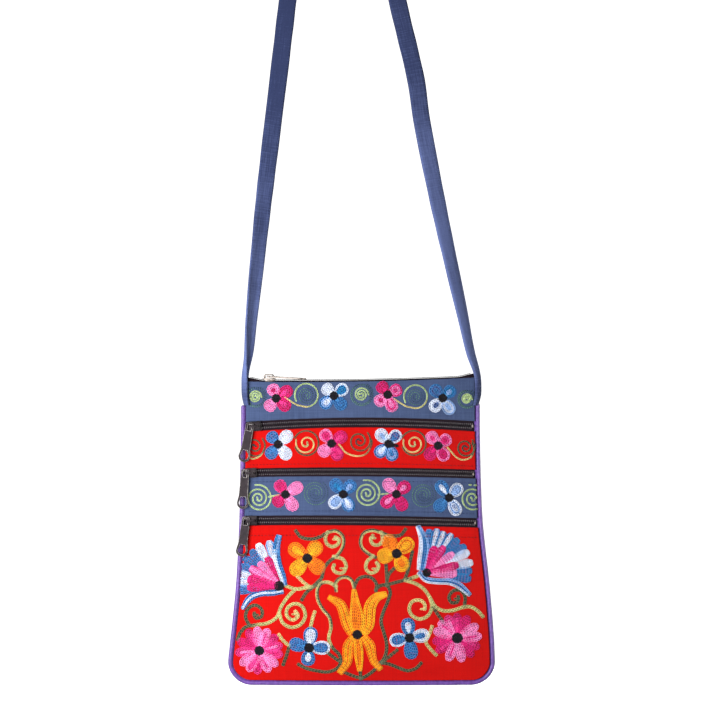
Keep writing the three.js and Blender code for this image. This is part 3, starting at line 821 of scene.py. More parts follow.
# %% Zip stops
STOP_SIZE = np.array([1.1, 1.2, 2.4])
STOP_U, STOP_SINK, STOP_ROUND = 0.977, 0.7, 0.3 * MM
for zip_name, top, bottom in ZIPS:
    point, out = skin(FRONT, np.array([STOP_U]), np.array([(top + bottom) / 2]))
    block = bmesh.new()
    bmesh.ops.create_cube(block, size=1.0)
    for corner in block.verts:
        corner.co = place(point[0] - out[0] * STOP_SINK + np.array(corner.co) * STOP_SIZE)
    bmesh.ops.bevel(block, geom=block.edges[:], offset=STOP_ROUND, segments=2, profile=0.5, affect="EDGES")
    add_piece(f"{zip_name}_stop", mesh_of(block, "stop"), nickel)

# %% [markdown]
# The embroidery is chain stitch: each loop of thread holds the one before it. Petals are filled
# with rounds of stitches from the edge inwards, long petals with rows along their length, and the
# scrolls are single or double rows. So a motif is a list of rows, and each point of a row knows
# its colour. The threads are dyed unevenly, so the colour wanders a little along every row.

# %% Threads and rows
THREADS = {
    "l": "#fa97d1", "h": "#f0459b", "m": "#e3217f", "w": "#e6edfd", "b": "#4489c8", "t": "#2a90cc",
    "s": "#a4c4f2", "n": "#5a74ae", "o": "#ff9214", "y": "#ffc024", "g": "#c6dca0", "a": "#d4d090",
    "c": "#e6d896", "d": "#646b52", "e": "#5d8a62", "f": "#2f4a4c", "k": "#14101a", "r": "#8a0c12",
    "u": "#39466c",
}
ROW, STEP, SEAM_LIMIT, WANDER = 1.6, 0.7, 0.992, 0.3
dyes = {letter: np.array(linear(colour)) for letter, colour in THREADS.items()}
chance = np.random.default_rng(11)


def wander(run):
    phase = chance.uniform(0, math.tau, 3)
    return sum(np.sin(run / length + phase[k]) for k, length in enumerate((2.1, 3.7, 7.9))) / 3


def dyed(letters, which, run):
    spot = np.clip(which + WANDER * wander(run), 0, len(letters) - 1)
    low = np.floor(spot).astype(int)
    high = np.minimum(low + 1, len(letters) - 1)
    tones = np.array([dyes[letter] for letter in letters])
    share = np.clip((spot - low - 0.5) * 3 + 0.5, 0, 1)[:, None]
    return tones[low] * (1 - share) + tones[high] * share


def on_front(x, z):
    level = z
    for _ in range(4):
        level = np.clip(level, BOTTOM, MOUTH)
        arch, tilt, shift = pouch(level)[4:]
        u = (x - shift) / half_width(level)
        level = z + arch * u * u + tilt * (1 - u) / 2
    return u, np.clip(level, BOTTOM + 0.5, MOUTH - 0.5)


class Chart:
    def __init__(self):
        self.lines, self.outs, self.colours, self.length = [], [], [], 0.0

    def row(self, line, letters, which, lift):
        run = run_of(line)
        u, level = on_front(line[:, 0], line[:, 1])
        point, out = skin(FRONT, u, level)
        tones = dyed(letters, np.broadcast_to(which, run.shape), run)
        inside = np.abs(u) < SEAM_LIMIT
        for part in np.split(np.arange(len(line)), np.flatnonzero(np.diff(inside)) + 1):
            if inside[part[0]] and len(part) > 2:
                self.lines.append(point[part] + out[part] * lift)
                self.outs.append(out[part])
                self.colours.append(tones[part])
                self.length += run[part[-1]] - run[part[0]]


def metres(*charts):
    return round(sum(chart.length for chart in charts) * MM, 2)


# %% [markdown]
# A few kinds of motif make the whole pattern. First the filled ones: the oval petal, the long petal
# with a bent middle line, and the round button in the heart of a flower.

# %% Petals and buttons
LIFT, PETAL_START, PETAL_TAPER = 0.3, 2.4, 0.7


def around(heart, reach, angle):
    return np.array(heart) + np.stack([reach * np.cos(angle), reach * np.sin(angle)], -1)


def full(share):
    return np.sign(share) * np.abs(share) ** 0.95


def petal(chart, heart, angle, reach, wide, letters):
    turn = math.radians(angle)
    ahead = np.array([math.cos(turn), math.sin(turn)])
    sideways = np.array([-ahead[1], ahead[0]])
    for k in range(math.ceil(wide / 2 / ROW)):
        near, far = PETAL_START + PETAL_TAPER * k * ROW, reach - (0.5 + k) * ROW
        half = max(wide / 2 - (0.5 + k) * ROW, 0.15)
        if far - near < ROW:
            break
        t = np.linspace(0, math.tau, max(int((far - near + half) * 3), 8))
        a = (1 - full(np.cos(t))) / 2
        along = near + (far - near) * a
        across = half * full(np.sin(t)) * (0.78 + 0.34 * a)
        line = np.array(heart) + along[:, None] * ahead + across[:, None] * sideways
        chart.row(line, letters, k, LIFT)


def blade(chart, points, widths, letters, lift, side_to_side=False):
    points = np.array(points, float)
    run = run_of(points)
    spots = np.linspace(0, run[-1], max(int(run[-1] / STEP), 6))
    spine = curve_through(run, points, spots)
    half = np.maximum(curve_through(run, np.array(widths, float)[:, None], spots)[:, 0], 0.2) / 2
    count = max(int(round(2 * half.max() / ROW)), 1)
    for j in range(count):
        offset = (2 * j + 1) / count - 1
        from_edge = min(j, count - 1 - j)
        to_tip = from_edge == 0 or j == count // 2
        keep = np.flatnonzero(half > 0 if to_tip else half * 2 / count > 0.45 * ROW)
        if len(keep) > 4:
            line = spine + beside(spine) * (offset * half)[:, None]
            which = j * (len(letters) - 1) / max(count - 1, 1) if side_to_side else from_edge
            chart.row(line[keep[0]:keep[-1] + 1], letters, which, lift)


def leaf(chart, start, tip, wide, letters, lift):
    start, tip = np.array(start, float), np.array(tip, float)
    spots = np.array([0, 0.25, 0.5, 0.75, 0.9, 1.0])
    widths = wide * np.array([0.45, 0.65, 0.85, 1.0, 0.95, 0.6])
    blade(chart, start + (tip - start) * spots[:, None], widths, letters, lift)


def button(chart, heart, radius, lift=0.75, letters="k", inset=0.45, step=0.65, points=24):
    for reach in np.arange(radius - inset, 0.1, -step):
        chart.row(around(heart, reach, np.linspace(0, math.tau, points)), letters, 0, lift)


def flower(chart, heart, petals, reach=13.5, wide=10.2, black=3.0):
    for angle, letters, *length in petals:
        petal(chart, heart, angle, length[0] if length else reach, wide, letters)
    button(chart, heart, black)


# %% [markdown]
# Then the lines: spirals, rings with a tail, and stems of one or two rows side by side.

# %% Scrolls and stems
STEM_LIFT, STEM_GAP = 0.28, 1.25


def smooth_line(points):
    points = np.array(points, float)
    run = run_of(points)
    return curve_through(run, points, np.linspace(0, run[-1], max(int(run[-1] / STEP), 3)))


def scroll(chart, heart, radius, turns, letters, start, inner=0.8, way=1):
    t = np.linspace(0, 1, max(int(radius * turns * 6), 20))
    angle = math.radians(start) - way * (1 - t) * turns * math.tau
    line = around(heart, inner + (radius - inner) * t, angle)
    chart.row(line, letters, t * (len(letters) - 1), LIFT)


def lasso(chart, heart, radius, letters):
    ring = around((0, 0), radius, np.radians(np.arange(-110, 206, 15)))
    tail = radius * np.array([(-1.75, -0.25), (-1.2, -0.62), (-0.75, -0.86)])
    line = smooth_line(np.array(heart) + np.concatenate([tail, ring]))
    chart.row(line, letters, np.linspace(0, len(letters) - 1, len(line)), LIFT)


def vine(chart, points, letters, rows=2):
    line = smooth_line(points)
    threads = letters.split("/")
    for k in range(rows):
        own = threads[k % len(threads)]
        along = np.linspace(0, len(own) - 1, len(line))
        chart.row(line + beside(line) * (k - (rows - 1) / 2) * STEM_GAP, own, along, STEM_LIFT)


# %% [markdown]
# The chart of the three bands: where each small flower sits, and for each of its four petals the
# angle, the threads from the outer round to the heart, and the reach.

# %% Chart of the bands' flowers
top_flowers, red_flowers, blue_flowers = Chart(), Chart(), Chart()
BAND_FLOWERS = [
    (top_flowers, [
        (-65.7, -15.8, (108, "llm", 11.6), (33, "mmh", 14.8), (231, "ll", 12), (321, "mmh", 13.6)),
        (-20.7, -13.8, (134, "ww", 11.6), (37, "wtt", 13), (221, "bsw", 13.3), (310, "bb", 13.3)),
        (21.0, -13.0, (125, "mm", 11.6), (28, "hlh", 12.2), (219, "llm", 12), (291, "lhl", 14.1)),
        (63.8, -15.7, (131, "bnb", 12.9), (42, "bts", 12.6), (227, "wwn", 13.2), (303, "sws", 14.6))]),
    (red_flowers, [
        (-64.1, -51.6, (129, "bb", 11.6), (43, "ww", 14.2), (232, "bb", 13.6), (309, "ww", 14.5)),
        (-22.6, -50.9, (125, "lhm", 12.6), (34, "mmh", 14), (226, "ll", 13), (297, "mhm", 14.5)),
        (21.8, -51.1, (129, "wws", 14), (48, "wnb", 13), (224, "bsw", 13.8), (287, "bsb", 13.8)),
        (60.2, -52.6, (126, "llh", 12.8), (36, "lhm", 12), (228, "mm", 14), (301, "lmm", 13.4))]),
    (blue_flowers, [
        (-58.4, -90.5, (121, "hmm", 12.5), (31, "ll", 15.5), (224, "mm", 12.4), (304, "ll", 14.9)),
        (-13.5, -90.2, (127, "bbt", 14.3), (49, "bbs", 13.3), (225, "ws", 14.2), (297, "bsw", 14.7)),
        (27.7, -90.2, (127, "ll", 14.5), (41, "mml", 13.3), (220, "mml", 14.5), (298, "mm", 14.3)),
        (68.8, -93.1, (125, "bbw", 15.6), (46, "wss", 14), (221, "bb", 14.7), (300, "wswn", 15.6))]),
]
for chart, flowers in BAND_FLOWERS:
    for x, z, *petals in flowers:
        flower(chart, (x, z), petals)
leaf(red_flowers, (22.9, -51.6), (28.0, -52.6), 2.6, "k", 0.7)
print("bands' flowers, metres of thread rows:", metres(top_flowers, red_flowers, blue_flowers))

# %% [markdown]
# Between the flowers curl green scrolls. The light ones are chain stitch like the flowers; the
# dark ones, which hardly show on the blue, are charted apart because they are sewn in small dots.

# %% Chart of the bands' scrolls
top_scrolls, red_scrolls, blue_scrolls, dark_scrolls = Chart(), Chart(), Chart(), Chart()
for x, z, radius in ((-81.9, -14.7, 4.8), (0.7, -12.8, 5.4), (82.7, -16.3, 4.0)):
    scroll(top_scrolls, (x, z), radius, 2.4, "ggg", 5, way=-1)
    scroll(dark_scrolls, (x, z), radius + 3.6, 2.2, "fefef", 60, inner=radius + 1.2)
for heart in ((-42.1, -13.4), (42.8, -14.5)):
    lasso(top_scrolls, heart, 9.0, "ccggg")
    scroll(dark_scrolls, heart, 7.0, 3.2, "efefef", 30)
for x, z, radius in ((-82.6, -53.5, 8.7), (-1.0, -49.0, 9.0), (81.5, -54.1, 7.8)):
    scroll(red_scrolls, (x, z), radius, 2.0, "fdd", 40)
for heart in ((-42.1, -50.9), (41.3, -50.8)):
    scroll(red_scrolls, heart, 8.2, 1.6, "gcc", 165, way=-1)
    scroll(red_scrolls, heart, 10.0, 0.85, "ddd", 150, inner=9.0)
RED_STEMS = [
    ("ccd", [(-16.1, -52.2), (-11, -58.1), (-2.6, -60.6), (4.5, -58.7), (8.4, -52.2), (8.7, -49)]),
    ("ccd", [(68.3, -54.7), (74.9, -61.9), (80.3, -63.7), (86.3, -61.3), (88.2, -55.3), (87, -51)]),
    ("cad", [(-86, -62.5), (-82.9, -62.9), (-77.5, -60), (-74.6, -54.5)]),
]
for letters, points in RED_STEMS:
    vine(red_scrolls, points, letters, rows=1)
for heart in ((-79.4, -93.7), (5.1, -89.8), (87.2, -93.7)):
    scroll(blue_scrolls, heart, 10.6, 2.8, "ggg", 100)
vine(blue_scrolls, [(-70.5, -92.3), (-67, -91.6), (-64, -91.0)], "gg", rows=1)
vine(blue_scrolls, [(14.6, -90.4), (17.5, -90.0), (20.5, -89.8)], "gg", rows=1)
for heart in ((-35.1, -89.2), (48.8, -91.0)):
    scroll(dark_scrolls, heart, 10.0, 4.2, "efefefef", 50)
print("bands' scrolls, metres:", metres(top_scrolls, red_scrolls, blue_scrolls, dark_scrolls))

# %% [markdown]
# The main panel has a lily in the middle, four-petalled flowers round it and a daisy in each bottom
# corner. They are charted like the bands' flowers.

# %% Chart of the main panel's round flowers
left_flowers, right_flowers, lily = Chart(), Chart(), Chart()
DAISY_LEFT = [(95, "lll"), (67, "llh"), (40, "mmh"), (14, "hhl"), (-10, "hhm"), (-40, "lll"),
              (-65, "llh"), (-95, "hmm"), (-118, "lhh"), (-143, "lll"), (-174, "hhl"), (155, "mmm"),
              (120, "mhh")]
DAISY_RIGHT = [(115, "hhl"), (90, "mmh"), (62, "mmm"), (31, "lll"), (3, "llh"), (-24, "mmh"),
               (-50, "mmm"), (-78, "lll"), (-112, "llh"), (-147, "mmh"), (-172, "mmm"), (161, "lll"),
               (138, "llh")]
# chart, heart, width of a petal, its petals
MAIN_FLOWERS = [
    (left_flowers, (-41.4, -139.9), 12.0,
     [(144, "ooy", 17), (51, "oyy", 16), (227, "yy", 17.4), (320, "ooo", 16.6)]),
    (right_flowers, (27.9, -136.2), 12.0,
     [(122, "ooo", 16.5), (40, "yoy", 16.5), (191, "yyy", 15), (297, "yyo", 15)]),
    (left_flowers, (-40.0, -209.5), 11.2,
     [(83, "bw", 16.3), (166, "bb", 15.8), (0, "wb", 16.4), (265, "bbw", 14.2)]),
    (right_flowers, (37.9, -201.7), 11.2,
     [(96, "bbw", 15.5), (9.5, "wwb", 15.8), (190, "wbb", 15.5), (277, "bb", 16.9)]),
]
for chart, heart, wide, petals in MAIN_FLOWERS:
    flower(chart, heart, petals, wide=wide, black=3.4)
flower(left_flowers, (-78.8, -212.1), DAISY_LEFT, reach=18.8, wide=8.0, black=3.4)
flower(right_flowers, (75.1, -202.1), DAISY_RIGHT, reach=19.4, wide=8.2, black=3.9)
print("round flowers, metres:", metres(left_flowers, right_flowers))

# %% [markdown]
# At each side of the panel is a fan: outer leaves, inner leaves that lie over them, and sepals along
# both edges, each charted by its tip or its middle line. The lily's petals are charted the same way.

# %% Chart of the fans and the lily
def fan(chart, heart, outer, inner, sepals, black):
    heart = np.array(heart)
    for k, (tip, letters) in enumerate(outer):
        leaf(chart, heart + 0.5 * (np.array(tip) - heart), tip, 7.0, letters, LIFT + 0.03 * k)
    for k, (tip, letters, wide) in enumerate(inner):
        leaf(chart, heart + 0.1 * (np.array(tip) - heart), tip, wide, letters, 0.7 + 0.1 * k)
    for points, widths, letters in sepals:
        blade(chart, points, widths, letters, 0.6, side_to_side=True)
    button(chart, heart, black, 1.3)


fan(left_flowers, (-63.3, -161.4),
    [((-70.9, -127.6), "swn"), ((-79.4, -129.9), "www"), ((-84.5, -134.8), "bbw"), ((-90, -140.3), "bbt"),
     ((-92.1, -146.6), "bbt"), ((-93.4, -152.8), "www"), ((-93.6, -158.8), "sww"), ((-94, -165.6), "bbs")],
    [((-72.2, -140.3), "mm", 7), ((-78.1, -144.1), "ll", 7), ((-84.9, -148.3), "hl", 7.5),
     ((-86.8, -163.2), "mm", 7), ((-86.5, -156.8), "mm", 9)],
    [([(-63.5, -123.3), (-65.2, -130.5), (-65.4, -136)], [4, 5.5, 5.8], "btsb"),
     ([(-65.6, -134.6), (-64.9, -140), (-63.7, -145.8), (-60.8, -153.4), (-59.1, -160.1)],
      [4.6, 5.8, 5.6, 5, 3.5], "wwbb"),
     ([(-61.2, -165.6), (-68, -166.9), (-76.4, -167.3), (-84, -169.9), (-88, -173.5), (-91.4, -178.9)],
      [4, 4.6, 5, 5, 4.5, 2.5], "bwwb")], 3.5)
fan(right_flowers, (51.3, -151.1),
    [((53.4, -118.8), "bbs"), ((59.3, -118.4), "bww"), ((64.4, -120.5), "bww"), ((70.5, -122.2), "bws"),
     ((75.4, -126), "bbt"), ((80.9, -131.1), "bbt"), ((83.4, -135.7), "www"), ((86.2, -143.7), "wws"),
     ((85.5, -150.1), "bbs"), ((84.7, -156.4), "bbt")],
    [((71.5, -136.7), "ll", 5.6), ((57.5, -131.9), "mm", 6.8), ((64.4, -131.6), "mh", 6.2),
     ((73.6, -151.9), "ll", 7.5), ((75, -145.5), "mm", 6.6)],
    [([(45, -116), (48.5, -124.3), (49.2, -132.7), (48.1, -140.4), (46.9, -148)],
      [3, 6.3, 8.3, 8, 6], "wwbbs"),
     ([(45.8, -151.3), (50.9, -156.4), (59.8, -157.9), (69.1, -158.5), (76.7, -161.5), (84.5, -168.3)],
      [3.5, 4.5, 4.8, 5, 5.5, 3], "wbs")], 3.0)

LILY = [
    ("oyo", [3.3, 7.2, 8.4, 8.4, 6],
     [(-23.9, -170.3), (-15.8, -175.4), (-12.5, -183.2), (-10.4, -190.9), (-7.4, -197.5)]),
    ("yoo", [2.4, 6, 9.8, 10.4, 6.6],
     [(-4.9, -165.2), (-4.2, -173.6), (-3.3, -182), (-2.8, -189.1), (-2.7, -195.7)]),
    ("yoy", [3.6, 6.6, 9, 8.7, 8.1, 5.4],
     [(19.1, -167.7), (12.3, -170.3), (7.8, -176.6), (6.9, -184.4), (6.3, -191.5), (2.7, -198.1)]),
    ("oyo", [5.4, 8.4, 8.4, 6.6, 4.5],
     [(-6.2, -201.7), (-9.2, -207.7), (-9.8, -214.2), (-10.4, -220.8), (-15.8, -228.8)]),
    ("yoo", [4.8, 6.6, 6.9, 3], [(-2.4, -202.9), (-1.5, -209.4), (-1.2, -216.6), (-0.6, -226.7)]),
    ("oyo", [6, 8.2, 6.6, 5.4, 4.2],
     [(2.7, -201.7), (7.2, -207.7), (8.7, -214.2), (10.5, -220.2), (15.2, -225.9)]),
]
for letters, widths, points in LILY:
    blade(lily, points, widths, letters, 0.4)
button(lily, (-2.7, -199.0), 3.3)
print("with fans and lily, metres:", metres(left_flowers, right_flowers, lily))

# %% [markdown]
# Vines tie the flowers together. They are charted as points along the middle of each stem, with
# the threads from one end to the other: tan, dark olive or cream. A stroke parts its two rows.

# %% Chart of the vines
vines = Chart()
VINES = [
    ("dddaaadd/dddddddd", [
        (-50.1, -119), (-46.2, -123.5), (-38.4, -125), (-31.3, -123.2), (-25.5, -119.9), (-19, -118.6),
        (-13.8, -122.8), (-13.5, -130), (-17.7, -137.1), (-24.2, -142.2), (-28.1, -147.4), (-30, -154.5)]),
    ("aa", [(-25.5, -119.9), (-27.2, -123.6), (-26.2, -128.4), (-21.8, -130.8), (-17.4, -128.6),
            (-16.9, -125.2), (-19.2, -123.6)]),
    ("aa", [(-20.6, -138.6), (-14, -140.4), (-11.2, -145.6), (-13.2, -150.6), (-18, -151.2),
            (-21.2, -148.2), (-20.6, -145.2)]),
    ("dd", [(-30, -154.5), (-33.2, -159.7), (-37.8, -163), (-42.3, -166.8), (-45.5, -172)]),
    ("aad", [(-57.2, -161.7), (-50.1, -163.9), (-43.6, -162.9), (-37.1, -161.7), (-32, -157.1)]),
    ("ca", [(-48.5, -154.5), (-43.6, -159.1), (-39.7, -162)]),
    ("aa/dd", [(-19, -164.6), (-19.3, -159.1), (-15.8, -155.2), (-10.6, -154.5), (-6.7, -157.1),
               (-5, -162.3)]),
    ("dd", [(-4.5, -161), (-1.6, -155.8), (3.6, -153.9), (8.8, -155.2), (12.3, -159.7), (12, -164.9)]),
    ("aaaaddd/addaddd", [
        (-19, -161.6), (-24.2, -158.7), (-30, -159.1), (-33.2, -163.6), (-33.2, -171.4), (-29.4, -179.1),
        (-24.2, -185.6), (-22.9, -193.3), (-24.6, -202.4), (-21.6, -209.5), (-16.7, -214.7),
        (-15.4, -220.5), (-18.4, -225.7), (-25.5, -228.5), (-34.5, -227.6), (-42.3, -225.7),
        (-48.1, -222.8)]),
    ("ddd", [(12, -163.9), (15.3, -161), (20.4, -161), (23, -166.2), (21.1, -173.3), (17.8, -181.1),
             (15.9, -188.8), (17.8, -196.6), (20, -205), (19.8, -213.4), (16.5, -220.5), (10.7, -227),
             (4.9, -231.5), (0.4, -234)]),
    ("dd", [(-12.5, -228.9), (-6.1, -231.6), (-0.3, -233.6)]),
    ("dd", [(-0.3, -227), (0.1, -234)]),
    ("dd", [(15.3, -221.1), (22.4, -222.4), (28.8, -225), (36.6, -227.6), (43.1, -225.7), (46.9, -221.8)]),
    ("dd", [(17.2, -220.5), (28.2, -211.4)]),
    ("dd", [(25.6, -148.1), (21.7, -152.6), (20, -159.7)]),
    ("dd", [(19.8, -145.5), (20.4, -155.8)]),
    ("dda", [(20.4, -160.4), (27.6, -158.4), (35.3, -156.5), (43.7, -153.9)]),
    ("dd", [(40.1, -135.1), (38.5, -142.3), (36.6, -150), (34.3, -155.8)]),
    ("aaaa", [(35.3, -157.1), (43.1, -159.7), (49.5, -164.2), (54, -170.7), (57.9, -177.2), (63.8, -180.7),
              (71.5, -180.7), (79.3, -178.5), (85.7, -178.1), (91.6, -181.7), (95.1, -185.6)]),
    ("aac", [(54, -171), (55.4, -177.4), (52.6, -184.2), (45.9, -187.1), (39.3, -183.5), (37.9, -177.9),
             (40.4, -173.4), (45.9, -172.5), (49.8, -175.6), (49.8, -179.2)]),
    ("dd", [(56.6, -178.5), (60.5, -184.3), (64.4, -189.7)]),
    ("dd", [(80.8, -177.2), (81.2, -170.1), (77.3, -165.1), (71.5, -165.9), (68.7, -170.7), (70.9, -174.6),
            (75.4, -173.9), (76, -170.1)]),
    ("aaaadd", [(-50.3, -163.9), (-56.5, -170.1), (-61.7, -177.9), (-64.9, -185.6), (-72, -190.5),
                (-81.1, -192.1), (-89.5, -194), (-94.0, -199.2), (-95.6, -203.7)]),
    ("aac", [(-63, -183), (-60.4, -190.1), (-53.9, -193.6), (-46.8, -191.4), (-42.9, -184.9),
             (-44.9, -177.8), (-50.7, -175.2), (-56.5, -178.5), (-57.2, -184.4), (-52.6, -187.8),
             (-48.5, -184.6), (-50.4, -181.4)]),
    ("dd", [(-86.9, -192), (-89.5, -186.2), (-87.6, -179.8), (-81.7, -176.8), (-76.8, -180.4),
            (-77.2, -185.6), (-81.7, -186.6), (-82.6, -183.2)]),
    ("ca", [(-35.6, -181.7), (-37.4, -187.5), (-38.7, -193.3)]),
    ("ca", [(-63.2, -199.8), (-59.8, -204.3), (-55.2, -208.2)]),
    ("dd", [(-55.9, -210.2), (-57.8, -216.6), (-60.1, -222.8)]),
    ("dd", [(-25.5, -213.4), (-20.3, -217.3), (-15.8, -220.5)]),
    ("ca", [(55.4, -193.3), (53.4, -199.2), (50.8, -205), (54.1, -210.2), (58.6, -215.1)]),
    ("dddddddd/ddaaaaad", [
        (34.7, -117.7), (30.8, -122), (22.4, -122.2), (15.9, -119.9), (9.4, -118.1), (3, -119.9),
        (0.1, -125.4), (1, -131.3), (5.6, -135.8), (11.4, -139)]),
    ("aa", [(16, -120.1), (17.2, -125.1), (14.6, -129.1), (9.9, -129), (7.9, -125.1), (9.4, -122.4)]),
    ("aa", [(9.6, -138.2), (5.2, -142.3), (4.2, -147.4), (7.2, -151), (12, -149.8), (14, -145.6),
            (12.6, -143.4)]),
]
BUDS = [(-19.2, -125.2, "a"), (-13.6, -147.6, "a"), (9.6, -124.2, "a"), (11.2, -147.8, "a"),
        (-50.9, -183.4, "c"), (48.7, -179.4, "c"), (-81.6, -184.2, "d"), (75.0, -171.6, "d")]
for letters, points in VINES:
    vine(vines, points, letters)
for x, z, letters in BUDS:
    button(vines, (x, z), 1.7, 0.34, letters, inset=0.6, step=1.0, points=18)
print("vines, metres:", metres(vines))

# %% [markdown]
# Now the stitches. The tree walks each row, sets a loop of thread at every stitch, lays it flat on
# the cloth and lets the next one overlap it. The rows' colours go with the loops. Each loop also
# gets a tone of its own, and a small disc inside it is painted shade: a darker copy of the thread's
# colour that stands in for the shadow inside the loop.

# %% Node trees for the stitches
def toned(wire, points, shape, turn):
    stitches = set_on(wire, points, shape, turn)
    tone = wire.node("FunctionNodeRandomValue", {2: 0.8, 3: 1.22, "Seed": 5}, out=1, data_type="FLOAT")
    return store(stitches, "tone", tone, "INSTANCE")


def chain_tree():
    wire, given = new_tree("chain_stitch", ["Stitch", "Width", "Thread"])
    long, thread = given["Stitch"], given["Thread"]
    path, turn = steps_along(wire, given, long)
    round_one = wire.node("GeometryNodeCurvePrimitiveCircle", {"Resolution": 9, "Radius": 1.0})
    spot = wire.node("GeometryNodeInputPosition")
    x, y = spot.axis(0), spot.axis(1)
    inner = (given["Width"] - thread) * 0.5
    shape = wire.vector(x * long * 0.6, y * inner * (1.0 - 0.3 * x), x * thread * -0.3)
    loop = wire.node("GeometryNodeSetPosition", {"Geometry": round_one, "Position": shape})
    strand = wire.node("GeometryNodeCurvePrimitiveCircle", {"Resolution": 3, "Radius": thread * 0.5})
    link = wire.node("GeometryNodeCurveToMesh", {"Curve": loop, "Profile Curve": strand})
    disc = wire.node("GeometryNodeMeshCircle", {"Vertices": 6, "Radius": 1.0}, fill_type="NGON")
    size = wire.vector(long * 0.42, inner, 1.0)
    disc = wire.node("GeometryNodeTransform", {"Geometry": disc, "Scale": size})
    # The disc inside the loop is marked for painted shade.
    stitch = joined(wire, link, store(disc, "painted_shade", 1.0))
    return close_tree(wire, toned(wire, path, stitch, turn), given)


def running_tree():
    wire, given = new_tree("running_stitch", ["Stitch", "Thread"])
    path, turn = steps_along(wire, given, given["Stitch"])
    ball = wire.node("GeometryNodeMeshUVSphere", {"Segments": 6, "Rings": 4, "Radius": 1.0})
    size = wire.vector(given["Stitch"] * 0.34, given["Thread"] * 0.5, given["Thread"] * 0.4)
    dash = wire.node("GeometryNodeTransform", {"Geometry": ball, "Scale": size})
    return close_tree(wire, toned(wire, path, dash, turn), given)


def thread_finish():
    made, wire = new_finish("embroidery_thread", roughness=0.65, specular_ior_level=0.2)
    dye = wire.node("ShaderNodeAttribute", attribute_name="thread")
    # Painted shade for the disc inside each loop: the thread's colour squared and darkened.
    deep = wire.node("ShaderNodeVectorMath", {0: dye, 1: dye}, operation="MULTIPLY")
    deep = wire.node("ShaderNodeVectorMath", {0: deep, "Scale": 0.42}, operation="SCALE")
    colour = wire.mark("painted_shade").blend(dye, deep)
    colour = wire.node("ShaderNodeVectorMath", {0: colour, "Scale": wire.mark("tone")}, operation="SCALE")
    wire.paint("base_color", colour)
    wire.bump(wire.specks(3000.0), 0.3, 0.0002)
    return made


# %% [markdown]
# Petals take the broadest loops, stems narrower ones and the bands' scrolls the finest.

# %% Chain stitches
FILL = {"Stitch": 2.2 * MM, "Width": 1.85 * MM, "Thread": 0.5 * MM}
LINE = {"Stitch": 2.4 * MM, "Width": 1.55 * MM, "Thread": 0.44 * MM}
FINE = {"Stitch": 2.2 * MM, "Width": 1.3 * MM, "Thread": 0.42 * MM}
chain_stitch, running_stitch, thread = chain_tree(), running_tree(), thread_finish()


def embroider(name, chart, tree, sizes):
    lines = line_object(chart.lines, chart.outs, chart.colours)
    add_piece(name, walk(tree, lines, thread, **sizes), thread)


for name, chart, sizes in (
        ("top_band_flowers", top_flowers, FILL), ("red_band_flowers", red_flowers, FILL),
        ("blue_band_flowers", blue_flowers, FILL), ("top_band_scrolls", top_scrolls, FINE),
        ("red_band_scrolls", red_scrolls, FINE), ("blue_band_scrolls", blue_scrolls, FINE),
        ("main_vines", vines, LINE), ("main_flowers_left", left_flowers, FILL),
        ("main_flowers_right", right_flowers, FILL), ("main_lily", lily, FILL)):
    embroider(name, chart, chain_stitch, sizes)

# %% [markdown]
# The strips are sewn to the lining with long running stitches, a little way in from the zips. They
# show as short dark dashes and cross the embroidery where it lies in their way. The dark scrolls of
# the bands use the same tree with shorter, thicker stitches.

# %% Running stitches
DASHES = {"Stitch": 2.7 * MM, "Thread": 0.6 * MM}
DOTS = {"Stitch": 1.7 * MM, "Thread": 0.85 * MM}
seams = Chart()
for level, letters in ((-66.9, "r"), (-80.6, "u"), (-104.2, "u"), (-122.9, "r")):
    u = np.linspace(-0.96, 0.96, 260)
    line = cloth(FRONT, u, np.full_like(u, level))[:, [0, 2]]
    seams.row(line, letters, 0.5, 0.62)
embroider("running_stitches", seams, running_stitch, DASHES)
embroider("dark_green_scrolls", dark_scrolls, running_stitch, DOTS)

# %% [markdown]
# A white studio: the bag hangs over a round pale floor whose rim is swept up into a wall. The paper
# glows away from the bag, so it is white from every side, but it is kept out of the bag's own light.

# %% Floor
FLOOR, COVE, SWEEP, WALL_TOP = -0.9, 8.0, 2.0, 7.0
GLOW_FROM, GLOW_TO, GLOW = 0.9, 1.7, 0.95


def paper_finish():
    made, wire = new_finish("pale_paper", roughness=0.9, specular_ior_level=0.0, emission_strength=GLOW)
    pale = wire.specks(40.0).between(0.3, 0.7).blend([0.93, 0.93, 0.93, 1], [0.96, 0.96, 0.96, 1])
    wire.paint("base_color", pale)
    spot = wire.node("ShaderNodeTexCoord", out=3)
    away = wire.node("ShaderNodeVectorMath", {0: spot}, out=1, operation="LENGTH")
    glow = away.between(GLOW_FROM, GLOW_TO).blend([0.74, 0.74, 0.74, 1], [1, 1, 1, 1])
    wire.paint("emission_color", glow)
    return made


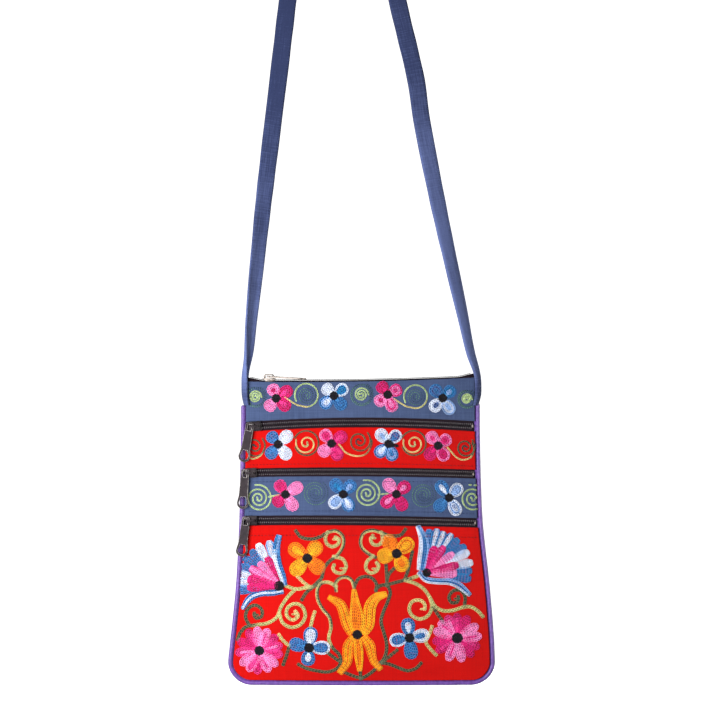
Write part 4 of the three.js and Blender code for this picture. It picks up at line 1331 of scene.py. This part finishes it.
bend = np.linspace(0, math.pi / 2, 16)
spin = np.linspace(0, math.tau, 64, endpoint=False)
reach = np.concatenate([[0.2, 1.0], COVE - SWEEP + SWEEP * np.sin(bend), [COVE]])[:, None]
height = np.concatenate([[FLOOR, FLOOR], FLOOR + SWEEP * (1 - np.cos(bend)), [WALL_TOP]])[:, None]
paper = np.stack(np.broadcast_arrays(reach * np.cos(spin), reach * np.sin(spin), height), -1)
paper_faces = [face[::-1] for face in grid_faces(len(reach), len(spin), ring=True)]
paper_faces.append(list(range(len(spin))))
paper_mesh = bpy.data.meshes.new("paper_cove")
paper_mesh.from_pydata(paper.reshape(-1, 3).tolist(), [], paper_faces)
paper_mesh.shade_smooth()
paper_mesh.materials.append(paper_finish())
cove = show("paper_cove", paper_mesh)
cove.visible_diffuse = False
cove.visible_glossy = False
cove.visible_shadow = False
print("paper cove, metres across:", 2 * COVE)

# %% [markdown]
# The light comes evenly from all round and from one lamp at the front left, which gives the cloth
# and the stitches their soft shadows. A card at the right shows only in the metal, and a wide lamp
# stands behind the bag. The camera looks straight at the front.

# %% Light and camera
BAG_MIDDLE, METAL_MIDDLE = (0.0245, 0.0, -0.66), (-0.06, 0, -0.62)
ALL_ROUND = 0.31
VIEW_WIDE, DISTANCE, SENSOR = 0.5616, 1.8, 36.0


def lamp(name, spot, target, size, power):
    light = bpy.data.lights.new(name, "AREA")
    light.size = size
    light.energy = power
    made = show(name, light)
    made.location = spot
    x, y, z = np.array(target) - np.array(spot)
    made.rotation_euler = (math.atan2(math.hypot(x, y), -z), 0, math.atan2(x, -y) + math.pi)
    made.visible_camera = False
    return made


world = bpy.data.worlds.new("studio")
world.use_nodes = True
sky = world.node_tree.nodes["Background"].inputs
sky["Color"].default_value = (1, 1, 1, 1)
sky["Strength"].default_value = ALL_ROUND
bpy.context.scene.world = world
bpy.context.scene.view_settings.view_transform = "Standard"
lamp("key", (-0.32, -0.5, -0.63), BAG_MIDDLE, 0.4, 6.2)
card = lamp("card_for_metal", (0.5, -0.2, -0.6), METAL_MIDDLE, 0.5, 3.0)
card.visible_diffuse = False
lamp("behind", (0.35, 0.7, -0.4), BAG_MIDDLE, 0.8, 6.0)

camera = bpy.data.cameras.new("camera")
camera.sensor_width = SENSOR
camera.lens = SENSOR * DISTANCE / VIEW_WIDE
camera_object = show("camera", camera)
camera_object.location = (0.0241, -DISTANCE, -0.5389)
camera_object.rotation_euler = (math.pi / 2, 0, 0)
bpy.context.scene.camera = camera_object
print("view, metres wide at the bag:", VIEW_WIDE)
